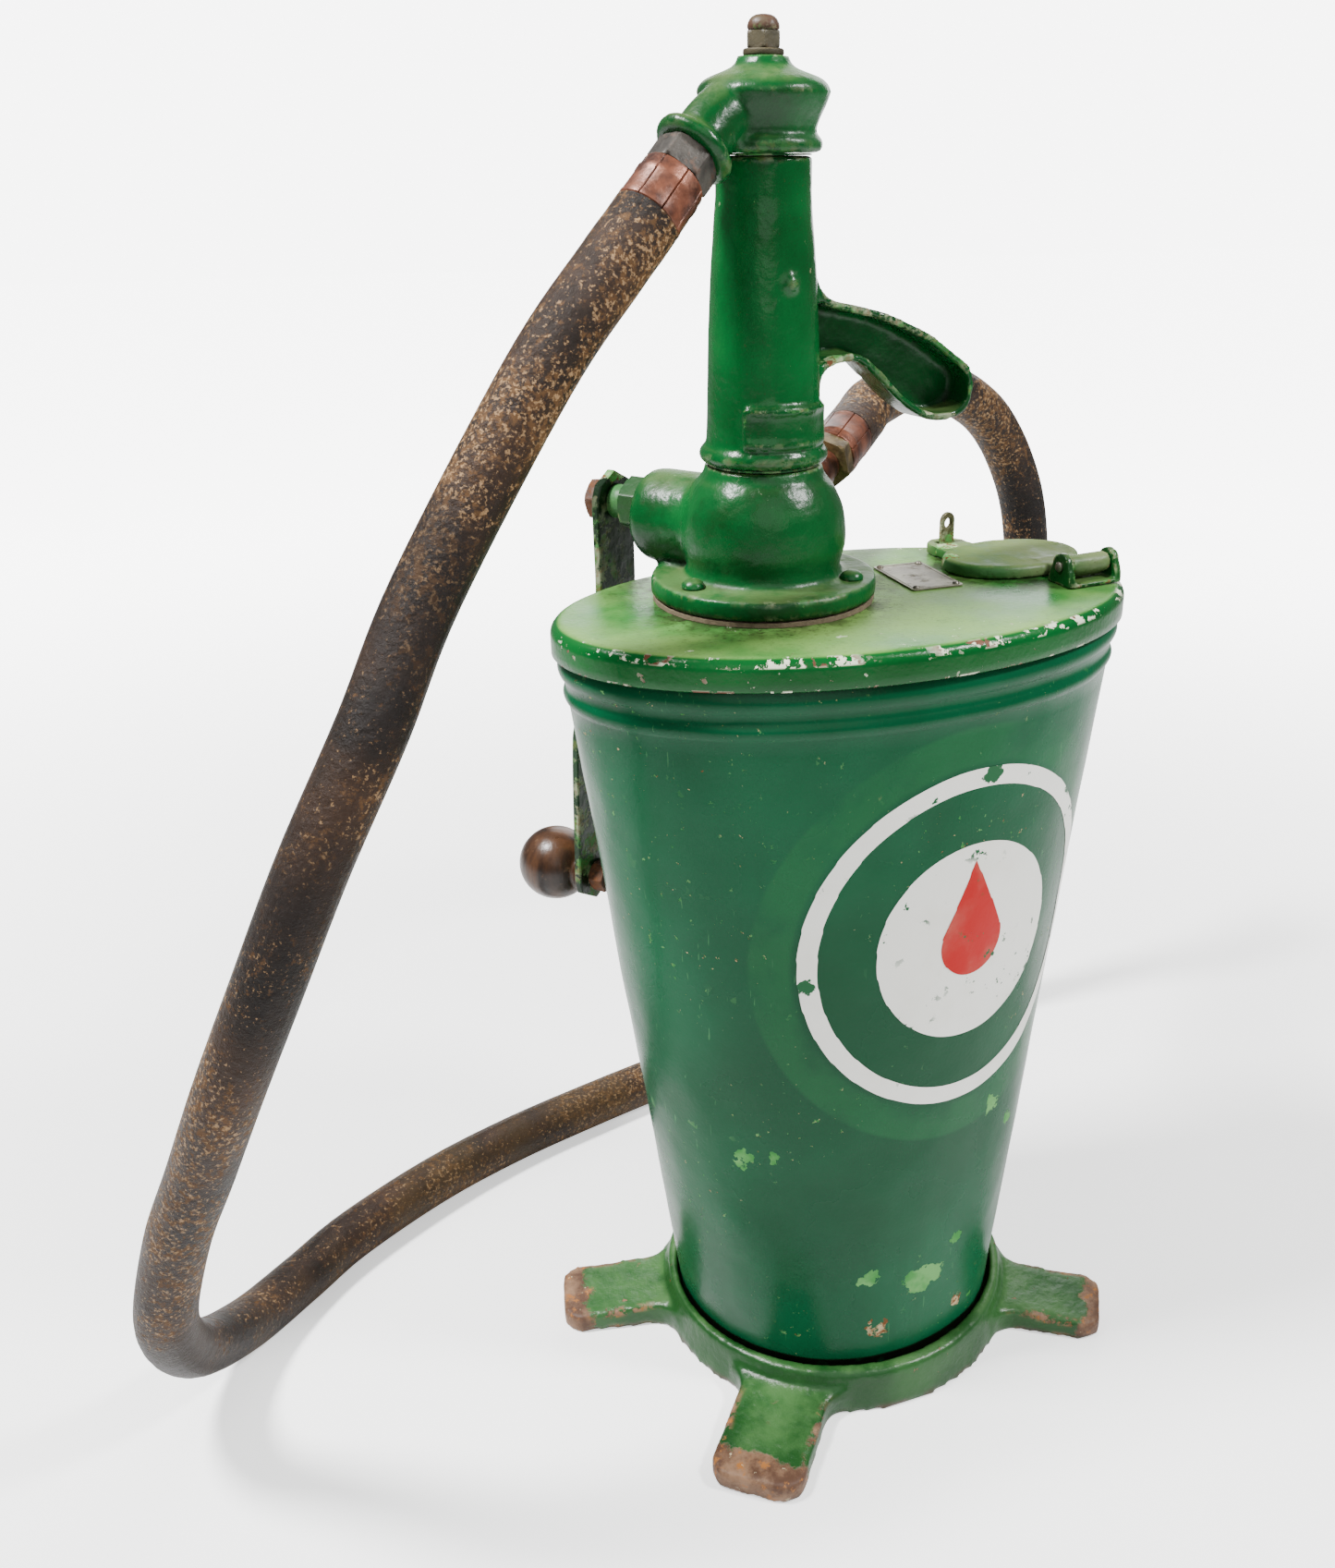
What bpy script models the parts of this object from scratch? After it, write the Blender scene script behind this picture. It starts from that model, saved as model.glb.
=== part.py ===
"""Rotary hand transfer pump standing on its own oval oil tank.

World frame: metres, +Z up, origin on the floor at the centre of the cast base.
X runs along the long axis of the oval lid, the pump at -X and the filler at +X.
"""
import math

import bmesh
import bpy
from mathutils import Matrix, Vector

COLLECTION = "rotary_transfer_pump"
CUTTERS = "cutters"

GAP = 0.0003

# Tank, lid and base
TANK_TOP = (0.170, 0.0992, 0.4852)
TANK_FOOT = (0.1085, 0.1035, 0.028)
TANK_BOTTOM_Z = 0.008
TANK_RIM_Z = 0.4965
SEAL_THICK = 0.0022
SEAL_INSET = 0.0007
SEAL_WIDTH = 0.005
SHEET = 0.0016
BEADS = ((0.4615, 0.0050, 0.0020), (0.4770, 0.0065, 0.0025))
LID = (0.1741, 0.1035)
LID_TOP_Z = 0.5031
LID_SHEET = 0.0020
SKIRT_Z = 0.4852
LID_SHOULDER = 0.0070
BASE_RIM_Z = 0.028
BASE_RIM_R = 0.116
BASE_FLOOR_R = 0.121
BASE_FLOOR = 0.006
FEET = ((167.0, 0.190, 0.0250), (231.5, 0.193, 0.0285), (327.0, 0.186, 0.0245), (58.0, 0.190, 0.0265))
FOOT_FILLET = 0.016
FOOT_CORNER = 0.014
FOOT_ROOT = 0.095
FOOT_CHAMFER = 0.003
FOOT_HEIGHT = (0.0190, 0.0140)

# Pump
PUMP = Vector((-0.0456, 0.0184, 0.0))
FLANGE_R = 0.0642
FLANGE_Z = (0.5061, 0.5175)
BODY_TOP_Z = 0.5792
SCREW_CIRCLE = 0.052
SCREW_AZIMUTHS = (200.3, 320.3, 80.3)
DELIVERY_R = 0.0168
SUCTION_R = 0.0110
SUCTION_PIPE_R = 0.0130

# Crank
CRANK_AZIMUTH = 128.3
SHAFT_Z = 0.5465
BOSS_DROP = 0.0045
IDLER_Z = 0.5225
KNOB_Z = 0.2907
SHAFT_R = 0.0060
SPINDLE_R = 0.0050
GEAR_R = 0.0114
TOOTH = 0.0018
TEETH = 10
GEAR_HALF = 0.0095
CHAMBER_R = 0.0138
ARM_HALF = 0.018
ARM_THICK = 0.005
KNOB_R = 0.025
KNOB_CENTRE = 0.1635

# Column and head
COLUMN_Z = (0.5808, 0.7355)
COLUMN_BORE = 0.0185
HEAD_Z = (0.7369, 0.7813)
ROD_R = 0.0040
SPOUT_AZIMUTH = 8.9
SPOUT_HALF = 0.012
SPOUT_RIM = 0.0045

# Delivery elbow, parking nozzle and hose
ELBOW_AZIMUTH = 204.3
ELBOW_FALL = 43.0
ELBOW_R = 0.015
PARK_AZIMUTH = 48.3
PARK_RISE = 11.5
PARK_Z = 0.535
HOSE_R = 0.0175
HOSE_POINTS = 29
HOSE_STRAIGHT = 0.012
HOSE_ROUTE = (
    (-0.141, -0.025, 0.687),
    (-0.182, -0.038, 0.641),
    (-0.247, -0.057, 0.547),
    (-0.281, -0.080, 0.491),
    (-0.316, -0.092, 0.432),
    (-0.345, -0.092, 0.371),
    (-0.370, -0.082, 0.312),
    (-0.391, -0.059, 0.251),
    (-0.411, -0.037, 0.193),
    (-0.426, -0.013, 0.122),
    (-0.418, 0.026, 0.064),
    (-0.390, 0.074, 0.030),
    (-0.353, 0.116, 0.019),
    (-0.312, 0.150, 0.019),
    (-0.246, 0.189, 0.019),
    (-0.182, 0.217, 0.018),
    (-0.117, 0.237, 0.018),
    (-0.048, 0.255, 0.018),
    (0.020, 0.267, 0.019),
    (0.088, 0.272, 0.018),
    (0.151, 0.273, 0.020),
    (0.209, 0.272, 0.040),
    (0.256, 0.270, 0.085),
    (0.280, 0.268, 0.149),
    (0.282, 0.265, 0.220),
    (0.281, 0.259, 0.290),
    (0.278, 0.255, 0.360),
    (0.280, 0.260, 0.427),
    (0.268, 0.261, 0.493),
    (0.226, 0.247, 0.553),
    (0.158, 0.215, 0.585),
    (0.101, 0.179, 0.581),
    (0.078, 0.157, 0.573),
)

# Filler, hasp and plate
FILLER = Vector((0.1205, 0.0245, 0.0))
NECK_R = 0.0250
CAP_HALF = (0.0455, 0.0325)
CAP_Z = (0.5037, 0.5110)
HINGE = Vector((0.1416, -0.0255, 0.5145))
HINGE_AZIMUTH = 5.1
EAR_INNER = 0.0145
EAR_THICK = 0.0045
STAPLE = Vector((0.0980, 0.0660, 0.0))
STAPLE_AZIMUTH = 18.0
STAPLE_HALF = 0.00575
HASP_R = 0.0135
PLATE = Vector((0.0545, 0.0205, 0.0))
PLATE_HALF = (0.0165, 0.0275)

GREEN = ((0.06, 0.20, 0.09, 1.0), 0.0, 0.35)
STEEL = ((0.45, 0.44, 0.42, 1.0), 1.0, 0.40)
RUST = ((0.28, 0.15, 0.08, 1.0), 0.6, 0.60)
COPPER = ((0.55, 0.25, 0.15, 1.0), 1.0, 0.35)
BRASS = ((0.60, 0.48, 0.22, 1.0), 1.0, 0.35)
RUBBER = ((0.03, 0.028, 0.025, 1.0), 0.0, 0.75)
FIBRE = ((0.20, 0.16, 0.11, 1.0), 0.0, 0.85)
WOOD = ((0.20, 0.09, 0.04, 1.0), 0.0, 0.35)


def clear_scene():
    for obj in list(bpy.data.objects):
        bpy.data.objects.remove(obj, do_unlink=True)
    for name in (COLLECTION, CUTTERS):
        bpy.context.scene.collection.children.link(bpy.data.collections.new(name))


def direction(azimuth, rise=0.0):
    a = math.radians(azimuth)
    e = math.radians(rise)
    return Vector((math.cos(e) * math.cos(a), math.cos(e) * math.sin(a), math.sin(e)))


def frame_at(origin, axis=(0, 0, 1), up=(0, 1, 0)):
    """A frame whose Z runs along axis and whose Y is as near to up as it can be."""
    z = Vector(axis).normalized()
    x = Vector(up).cross(z).normalized()
    matrix = Matrix((x, z.cross(x), z)).transposed().to_4x4()
    matrix.translation = origin
    return matrix


def lifted(base, z):
    return Vector((base[0], base[1], z))


def finish(name, look):
    material = bpy.data.materials.new(name)
    material.use_nodes = True
    shader = material.node_tree.nodes["Principled BSDF"]
    shader.inputs["Base Color"].default_value = look[0]
    shader.inputs["Metallic"].default_value = look[1]
    shader.inputs["Roughness"].default_value = look[2]
    return material


def add(name, mesh, frame, look):
    obj = bpy.data.objects.new(name, mesh)
    obj.matrix_world = frame
    if look is None:
        bpy.data.collections[CUTTERS].objects.link(obj)
        obj.hide_render = True
        obj.display_type = "WIRE"
    else:
        bpy.data.collections[COLLECTION].objects.link(obj)
        mesh.materials.append(finish(name, look))
    return obj


def lathe(name, profile, frame, look=None, steps=28, closed=False):
    """Turn a (radius, height) profile about local Z. The outer side runs from top to bottom."""
    mesh = bpy.data.meshes.new(name)
    shape = bmesh.new()
    verts = [shape.verts.new((r, 0.0, h)) for r, h in profile]
    links = list(zip(verts, verts[1:]))
    if closed:
        links.append((verts[-1], verts[0]))
    for link in links:
        shape.edges.new(link)
    shape.to_mesh(mesh)
    shape.free()
    obj = add(name, mesh, frame, look)
    screw = obj.modifiers.new("turn", "SCREW")
    screw.steps = steps
    screw.render_steps = steps
    screw.use_merge_vertices = True
    screw.merge_threshold = 0.00001
    screw.use_smooth_shade = True
    return obj


def rod(name, radius, low, high, frame, look=None, steps=28, edge=0.0):
    """A round bar along local Z, its end edges chamfered by edge."""
    if edge:
        profile = (
            (0.0, high),
            (radius - edge, high),
            (radius, high - edge),
            (radius, low + edge),
            (radius - edge, low),
            (0.0, low),
        )
    else:
        profile = ((0.0, high), (radius, high), (radius, low), (0.0, low))
    return lathe(name, profile, frame, look, steps)


def ring(name, inner, outer, low, high, frame, look, steps=28):
    profile = ((inner, high), (outer, high), (outer, low), (inner, low))
    return lathe(name, profile, frame, look, steps, closed=True)


def meshed(name, curve, frame, look, shift=None):
    """The curve as a closed mesh with its origin at frame."""
    source = bpy.data.objects.new(name + "_outline", curve)
    bpy.context.scene.collection.objects.link(source)
    graph = bpy.context.evaluated_depsgraph_get()
    mesh = bpy.data.meshes.new_from_object(source.evaluated_get(graph))
    bpy.data.objects.remove(source, do_unlink=True)
    bpy.data.curves.remove(curve)
    shape = bmesh.new()
    shape.from_mesh(mesh)
    bmesh.ops.remove_doubles(shape, verts=shape.verts, dist=0.00001)
    bmesh.ops.recalc_face_normals(shape, faces=shape.faces)
    shape.to_mesh(mesh)
    shape.free()
    if shift is not None:
        mesh.transform(Matrix.Translation(shift))
    mesh.name = name
    mesh.materials.clear()
    return add(name, mesh, frame, look)


def prism(name, outline, low, high, frame, look=None, rounding=0.0, segments=2):
    """A flat outline pulled along local Z from low to high."""
    curve = bpy.data.curves.new(name, "CURVE")
    curve.dimensions = "2D"
    curve.fill_mode = "BOTH"
    curve.extrude = (high - low) / 2
    spline = curve.splines.new("POLY")
    spline.points.add(len(outline) - 1)
    for point, (x, y) in zip(spline.points, outline):
        point.co = (x, y, 0.0, 1.0)
    spline.use_cyclic_u = True
    obj = meshed(name, curve, frame, look, (0.0, 0.0, (low + high) / 2))
    if rounding:
        round_edges(obj, rounding, segments)
    return obj


def round_edges(obj, width, segments):
    bevel = obj.modifiers.new("rounding", "BEVEL")
    bevel.width = width
    bevel.segments = segments
    bevel.limit_method = "ANGLE"
    bevel.angle_limit = math.radians(40)


def tube(name, points, radius, look=None, sides=4):
    """A round bar bent through world points, with flat ends."""
    curve = bpy.data.curves.new(name, "CURVE")
    curve.dimensions = "3D"
    curve.bevel_depth = radius
    curve.bevel_resolution = sides
    curve.use_fill_caps = True
    spline = curve.splines.new("POLY")
    spline.points.add(len(points) - 1)
    for point, co in zip(spline.points, points):
        point.co = (*co, 1.0)
    obj = meshed(name, curve, Matrix.Identity(4), look)
    for face in obj.data.polygons:
        face.use_smooth = len(face.vertices) == 4
    return obj


def oval_loft(name, sections, frame, look=None, sides=44):
    """Oval sections (half length, half width, height) joined in order, capped at both ends."""
    mesh = bpy.data.meshes.new(name)
    shape = bmesh.new()
    loops = []
    for half_x, half_y, z in sections:
        loop = []
        for i in range(sides):
            a = 2 * math.pi * i / sides
            loop.append(shape.verts.new((half_x * math.cos(a), half_y * math.sin(a), z)))
        loops.append(loop)
    for lower, upper in zip(loops, loops[1:]):
        for i in range(sides):
            j = (i + 1) % sides
            shape.faces.new((lower[i], lower[j], upper[j], upper[i])).smooth = True
    shape.faces.new(loops[0])
    shape.faces.new(loops[-1])
    bmesh.ops.recalc_face_normals(shape, faces=shape.faces)
    shape.to_mesh(mesh)
    shape.free()
    return add(name, mesh, frame, look)


def combine(target, tool, operation):
    boolean = target.modifiers.new(tool.name, "BOOLEAN")
    boolean.operation = operation
    boolean.solver = "EXACT"
    boolean.object = tool


def cut(target, tool):
    combine(target, tool, "DIFFERENCE")


def join(target, tool):
    combine(target, tool, "UNION")


def arc(centre, radius, start, end, steps):
    """Points of a round stretch, angles in degrees, both ends included."""
    points = []
    for i in range(steps + 1):
        a = math.radians(start + (end - start) * i / steps)
        points.append((centre[0] + radius * math.cos(a), centre[1] + radius * math.sin(a)))
    return points


def hexagon(across_flats):
    return arc((0.0, 0.0), across_flats / math.sqrt(3), 0, 300, 5)


def stadium(half_width, low, high, steps=10):
    """An upright slot shape, its round ends centred at low and high."""
    return arc((0.0, high), half_width, 0, 180, steps) + arc((0.0, low), half_width, 180, 360, steps)


def rounded_box(half_x, half_y, radius, steps=3):
    points = []
    for start, sx, sy in ((0, 1, 1), (90, -1, 1), (180, -1, -1), (270, 1, -1)):
        centre = (sx * (half_x - radius), sy * (half_y - radius))
        points += arc(centre, radius, start, start + 90, steps)
    return points


def smooth_path(points, before, after, count):
    """Evenly spaced points along a smooth curve through points."""
    route = [Vector(before)] + [Vector(p) for p in points] + [Vector(after)]
    dense = []
    for a, b, c, d in zip(route, route[1:], route[2:], route[3:]):
        for i in range(12):
            t = i / 12
            dense.append(
                0.5 * (2 * b + (c - a) * t + (2 * a - 5 * b + 4 * c - d) * t ** 2
                       + (3 * b - a - 3 * c + d) * t ** 3)
            )
    dense.append(route[-2])
    runs = [0.0]
    for a, b in zip(dense, dense[1:]):
        runs.append(runs[-1] + (b - a).length)
    spaced = []
    k = 0
    for i in range(count):
        want = runs[-1] * i / (count - 1)
        while k < len(runs) - 2 and runs[k + 1] < want:
            k += 1
        t = (want - runs[k]) / (runs[k + 1] - runs[k])
        spaced.append(dense[k].lerp(dense[k + 1], t))
    return spaced


FLOOR = frame_at((0, 0, 0))
PUMP_FRAME = frame_at(PUMP)
CRANK_DIR = direction(CRANK_AZIMUTH)
SHAFT = frame_at(lifted(PUMP, SHAFT_Z), CRANK_DIR, (0, 0, 1))
IDLER = frame_at(lifted(PUMP, IDLER_Z), CRANK_DIR, (0, 0, 1))
KNOB = frame_at(lifted(PUMP, KNOB_Z), CRANK_DIR, (0, 0, 1))
SPOUT_FRAME = frame_at(PUMP, direction(SPOUT_AZIMUTH - 90), (0, 0, 1))
HINGE_FRAME = frame_at(HINGE, (0, 0, 1), direction(HINGE_AZIMUTH + 90))
ELBOW_DIR = direction(ELBOW_AZIMUTH, -ELBOW_FALL)
ELBOW_END = PUMP + 0.0488 * direction(ELBOW_AZIMUTH) + Vector((0, 0, 0.7385))
ELBOW_FRAME = frame_at(ELBOW_END, ELBOW_DIR, (0, 0, 1))
PARK_DIR = direction(PARK_AZIMUTH, PARK_RISE)
PARK_FRAME = frame_at(lifted(PUMP, PARK_Z), PARK_DIR, (0, 0, 1))


def tank_half(z):
    """Half length and half width of the tank's plain wall at height z."""
    t = (z - TANK_FOOT[2]) / (TANK_TOP[2] - TANK_FOOT[2])
    return tuple(low + (high - low) * t for low, high in zip(TANK_FOOT[:2], TANK_TOP[:2]))


def foot(index, azimuth, tip, half):
    """One foot: a tapered slab with a rounded tip, filleted where it leaves the base ring."""
    centre_r = BASE_FLOOR_R + FOOT_FILLET
    centre_y = half + FOOT_FILLET
    centre_x = math.sqrt(centre_r ** 2 - centre_y ** 2)
    start = math.degrees(math.atan2(centre_y, -centre_x))
    corner_x = tip - FOOT_CORNER
    corner_y = half - FOOT_CORNER
    side = arc((centre_x, -centre_y), FOOT_FILLET, start, 90, 5)
    side += arc((corner_x, -corner_y), FOOT_CORNER, -90, -20, 4)
    outline = [(FOOT_ROOT, side[0][1])] + side + [(x, -y) for x, y in reversed(side)]
    outline.append((FOOT_ROOT, -side[0][1]))
    frame = frame_at((0, 0, 0), (0, 0, 1), direction(azimuth + 90))
    tool = prism(f"foot_{index}", outline, 0.0, FOOT_HEIGHT[0], frame)
    mesh = tool.data
    fall = (FOOT_HEIGHT[0] - FOOT_HEIGHT[1]) / (tip - BASE_RIM_R)
    tops = set()
    for vert in mesh.vertices:
        if vert.co.z > FOOT_HEIGHT[0] / 2:
            vert.co.z -= fall * max(vert.co.x - BASE_RIM_R, 0.0)
            tops.add(vert.index)
    weight = mesh.attributes.new("bevel_weight_edge", "FLOAT", "EDGE")
    for edge in mesh.edges:
        if edge.vertices[0] in tops and edge.vertices[1] in tops:
            weight.data[edge.index].value = 1.0
    bevel = tool.modifiers.new("rounding", "BEVEL")
    bevel.width = FOOT_CHAMFER
    bevel.segments = 1
    bevel.limit_method = "WEIGHT"
    return tool


def build_base():
    profile = (
        (0.0, BASE_RIM_Z),
        (BASE_RIM_R - 0.0025, BASE_RIM_Z),
        (BASE_RIM_R - 0.0005, BASE_RIM_Z - 0.0007),
        (BASE_RIM_R + 0.0004, BASE_RIM_Z - 0.0025),
        (BASE_FLOOR_R, 0.0),
        (0.0, 0.0),
    )
    base = lathe("base_casting", profile, FLOOR, GREEN, steps=44)
    for i, (azimuth, tip, half) in enumerate(FEET):
        join(base, foot(i + 1, azimuth, tip, half))
    socket = ((0.1100, 0.1055, BASE_FLOOR), (0.1100, 0.1055, 0.040))
    cut(base, oval_loft("socket", socket, FLOOR))


def build_tank():
    rise = [TANK_BOTTOM_Z]
    swell = {}
    for centre, half, bulge in BEADS:
        for t in (-1.0, -0.4, 0.4, 1.0):
            z = centre + t * half
            rise.append(z)
            swell[z] = bulge * math.cos(math.pi * t / 2)
    rise.append(TANK_RIM_Z)
    outer = []
    inner = []
    for z in rise:
        half_x, half_y = tank_half(z)
        extra = swell.get(z, 0.0)
        outer.append((half_x + extra, half_y + extra, z))
        inner.append((half_x + extra - SHEET, half_y + extra - SHEET, max(z, TANK_BOTTOM_Z + SHEET)))
    oval_loft("tank_shell", outer + inner[::-1], FLOOR, GREEN)

    half_x, half_y = (half - SEAL_INSET for half in tank_half(TANK_RIM_Z))
    low = TANK_RIM_Z + GAP
    high = low + SEAL_THICK
    seal = oval_loft("lid_seal", ((half_x, half_y, low), (half_x, half_y, high)), FLOOR, RUBBER)
    half_x -= SEAL_WIDTH
    half_y -= SEAL_WIDTH
    hollow = ((half_x, half_y, low - 0.005), (half_x, half_y, high + 0.005))
    cut(seal, oval_loft("seal_hollow", hollow, FLOOR))


def build_lid():
    sections = []
    for offset, low in ((0.0, SKIRT_Z), (LID_SHEET, SKIRT_Z)):
        radius = LID_SHOULDER - offset
        shell = [(LID[0] - offset, LID[1] - offset, low)]
        for degrees in (0, 30, 60, 90):
            a = math.radians(degrees)
            inset = offset + radius * (1 - math.cos(a))
            z = LID_TOP_Z - LID_SHOULDER + radius * math.sin(a)
            shell.append((LID[0] - inset, LID[1] - inset, z))
        sections.append(shell)
    lid = oval_loft("tank_lid", sections[0][::-1] + sections[1], FLOOR, GREEN)
    cut(lid, rod("lid_pump_hole", 0.035, 0.49, 0.51, PUMP_FRAME))
    cut(lid, rod("lid_filler_hole", NECK_R + GAP, 0.49, 0.51, frame_at(FILLER)))
    for i, azimuth in enumerate(SCREW_AZIMUTHS):
        at = frame_at(PUMP + SCREW_CIRCLE * direction(azimuth))
        cut(lid, rod(f"lid_screw_hole_{i + 1}", 0.0030, 0.49, 0.51, at, steps=16))
    for i, spot in enumerate(rivet_spots()):
        cut(lid, rod(f"lid_rivet_hole_{i + 1}", 0.0015, 0.49, 0.51, frame_at(spot), steps=12))


def rivet_spots():
    spots = []
    for sx in (-1, 1):
        for sy in (-1, 1):
            spots.append(PLATE + Vector((sx * (PLATE_HALF[0] - 0.0035), sy * (PLATE_HALF[1] - 0.0035), 0)))
    return spots


def build_plate():
    low = LID_TOP_Z + GAP
    high = low + 0.001
    frame = frame_at(PLATE)
    plate = prism("data_plate", rounded_box(*PLATE_HALF, 0.002), low, high, frame, STEEL)
    for i, spot in enumerate(rivet_spots()):
        at = frame_at(spot)
        cut(plate, rod(f"plate_hole_{i + 1}", 0.0015, low - 0.005, high + 0.005, at, steps=12))
        top = high + GAP
        profile = (
            (0.0, top + 0.0012),
            (0.0013, top + 0.0009),
            (0.0021, top),
            (0.0012, top),
            (0.0012, LID_TOP_Z - 0.0035),
            (0.0, LID_TOP_Z - 0.0035),
        )
        lathe(f"plate_rivet_{i + 1}", profile, at, STEEL, steps=12)


def build_filler():
    lip = LID_TOP_Z + GAP
    neck = (
        (NECK_R - 0.002, lip + 0.0012),
        (0.0295, lip + 0.0012),
        (0.0295, lip),
        (NECK_R, lip),
        (NECK_R, 0.468),
        (NECK_R - 0.002, 0.468),
    )
    lathe("filler_neck", neck, frame_at(FILLER), STEEL, steps=28, closed=True)

    into = HINGE_FRAME.inverted()
    middle = into @ lifted(FILLER, HINGE.z)
    low = CAP_Z[0] - HINGE.z
    high = CAP_Z[1] - HINGE.z
    half_x, half_y = CAP_HALF
    sections = (
        (half_x, half_y, low),
        (half_x, half_y, high - 0.0018),
        (half_x - 0.0006, half_y - 0.0006, high - 0.0006),
        (half_x - 0.0020, half_y - 0.0020, high),
    )
    at = HINGE_FRAME @ Matrix.Translation((middle.x, middle.y, 0.0))
    cap = oval_loft("filler_cap", sections, at, GREEN, sides=36)
    cap.data.transform(Matrix.Translation((middle.x, middle.y, 0.0)))
    cap.matrix_world = HINGE_FRAME

    staple = into @ lifted(STAPLE, HINGE.z)
    hasp_at = HINGE_FRAME @ Matrix.Translation((staple.x, staple.y - 0.0025, 0.0))
    join(cap, prism("hasp", stadium(HASP_R, -0.018, 0.0), low, low + 0.006, hasp_at))
    tongue = ((-0.0115, 0.0), (0.0115, 0.0), (0.0115, 0.033), (-0.0115, 0.033))
    join(cap, prism("tongue", tongue, -0.0080, -0.0033, HINGE_FRAME))
    barrel = frame_at(HINGE, direction(HINGE_AZIMUTH), (0, 0, 1))
    join(cap, rod("barrel", 0.0058, -0.0138, 0.0138, barrel, edge=0.0006, steps=24))
    cut(cap, rod("barrel_bore", 0.0028, -0.03, 0.03, barrel, steps=16))
    recess_at = HINGE_FRAME @ Matrix.Translation((middle.x, middle.y, 0.0))
    cut(cap, rod("cap_recess", 0.0302, low - 0.005, 0.5070 - HINGE.z, recess_at))
    turn = Matrix.Rotation(math.radians(STAPLE_AZIMUTH - HINGE_AZIMUTH), 4, "Z")
    slot_at = HINGE_FRAME @ Matrix.Translation((staple.x, staple.y, 0.0)) @ turn
    slot = rounded_box(0.0069, 0.00305, 0.0012, 2)
    slot = [(x, y + 0.0012) for x, y in slot]
    cut(cap, prism("hasp_slot", slot, low - 0.005, 0.01, slot_at))
    ring("cap_seal", 0.0235, 0.0290, 0.5049, 0.5067, frame_at(FILLER), RUBBER)

    seat = LID_TOP_Z + GAP
    tab_frame = frame_at(STAPLE, direction(STAPLE_AZIMUTH - 90), (0, 0, 1))
    tab = [(STAPLE_HALF, seat)] + arc((0.0, LID_TOP_Z + 0.0199), STAPLE_HALF, 0, 180, 10)
    tab.append((-STAPLE_HALF, seat))
    staple_tab = prism("staple_tab", tab, -0.00125, 0.00125, tab_frame, STEEL)
    eye = frame_at(lifted(STAPLE, LID_TOP_Z + 0.0190), direction(STAPLE_AZIMUTH - 90), (0, 0, 1))
    cut(staple_tab, rod("staple_eye", 0.0030, -0.01, 0.01, eye, steps=16))


def build_hinge():
    low = LID_TOP_Z + GAP - HINGE.z
    reach = EAR_INNER + EAR_THICK
    foot_plate = rounded_box(reach, 0.011, 0.002, 2)
    bracket = prism("hinge_bracket", foot_plate, low, low + 0.0025, HINGE_FRAME, GREEN)
    axis = direction(HINGE_AZIMUTH)
    across = frame_at(HINGE, axis, (0, 0, 1))
    outline = [(0.011, low + 0.001), (0.0085, -0.0010)]
    outline += arc((0.0, 0.0), 0.0078, 0, 180, 8)
    outline += [(-0.0085, -0.0010), (-0.011, low + 0.001)]
    for side in (-1, 1):
        ends = sorted((side * EAR_INNER, side * reach))
        name = "ear_left" if side < 0 else "ear_right"
        join(bracket, prism(name, outline, ends[0], ends[1], across))
    cut(bracket, rod("ear_bore", 0.0028, -0.03, 0.03, across, steps=16))
    rod("hinge_pin", 0.0025, -0.0205, 0.0205, across, STEEL, steps=16, edge=0.0006)


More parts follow.
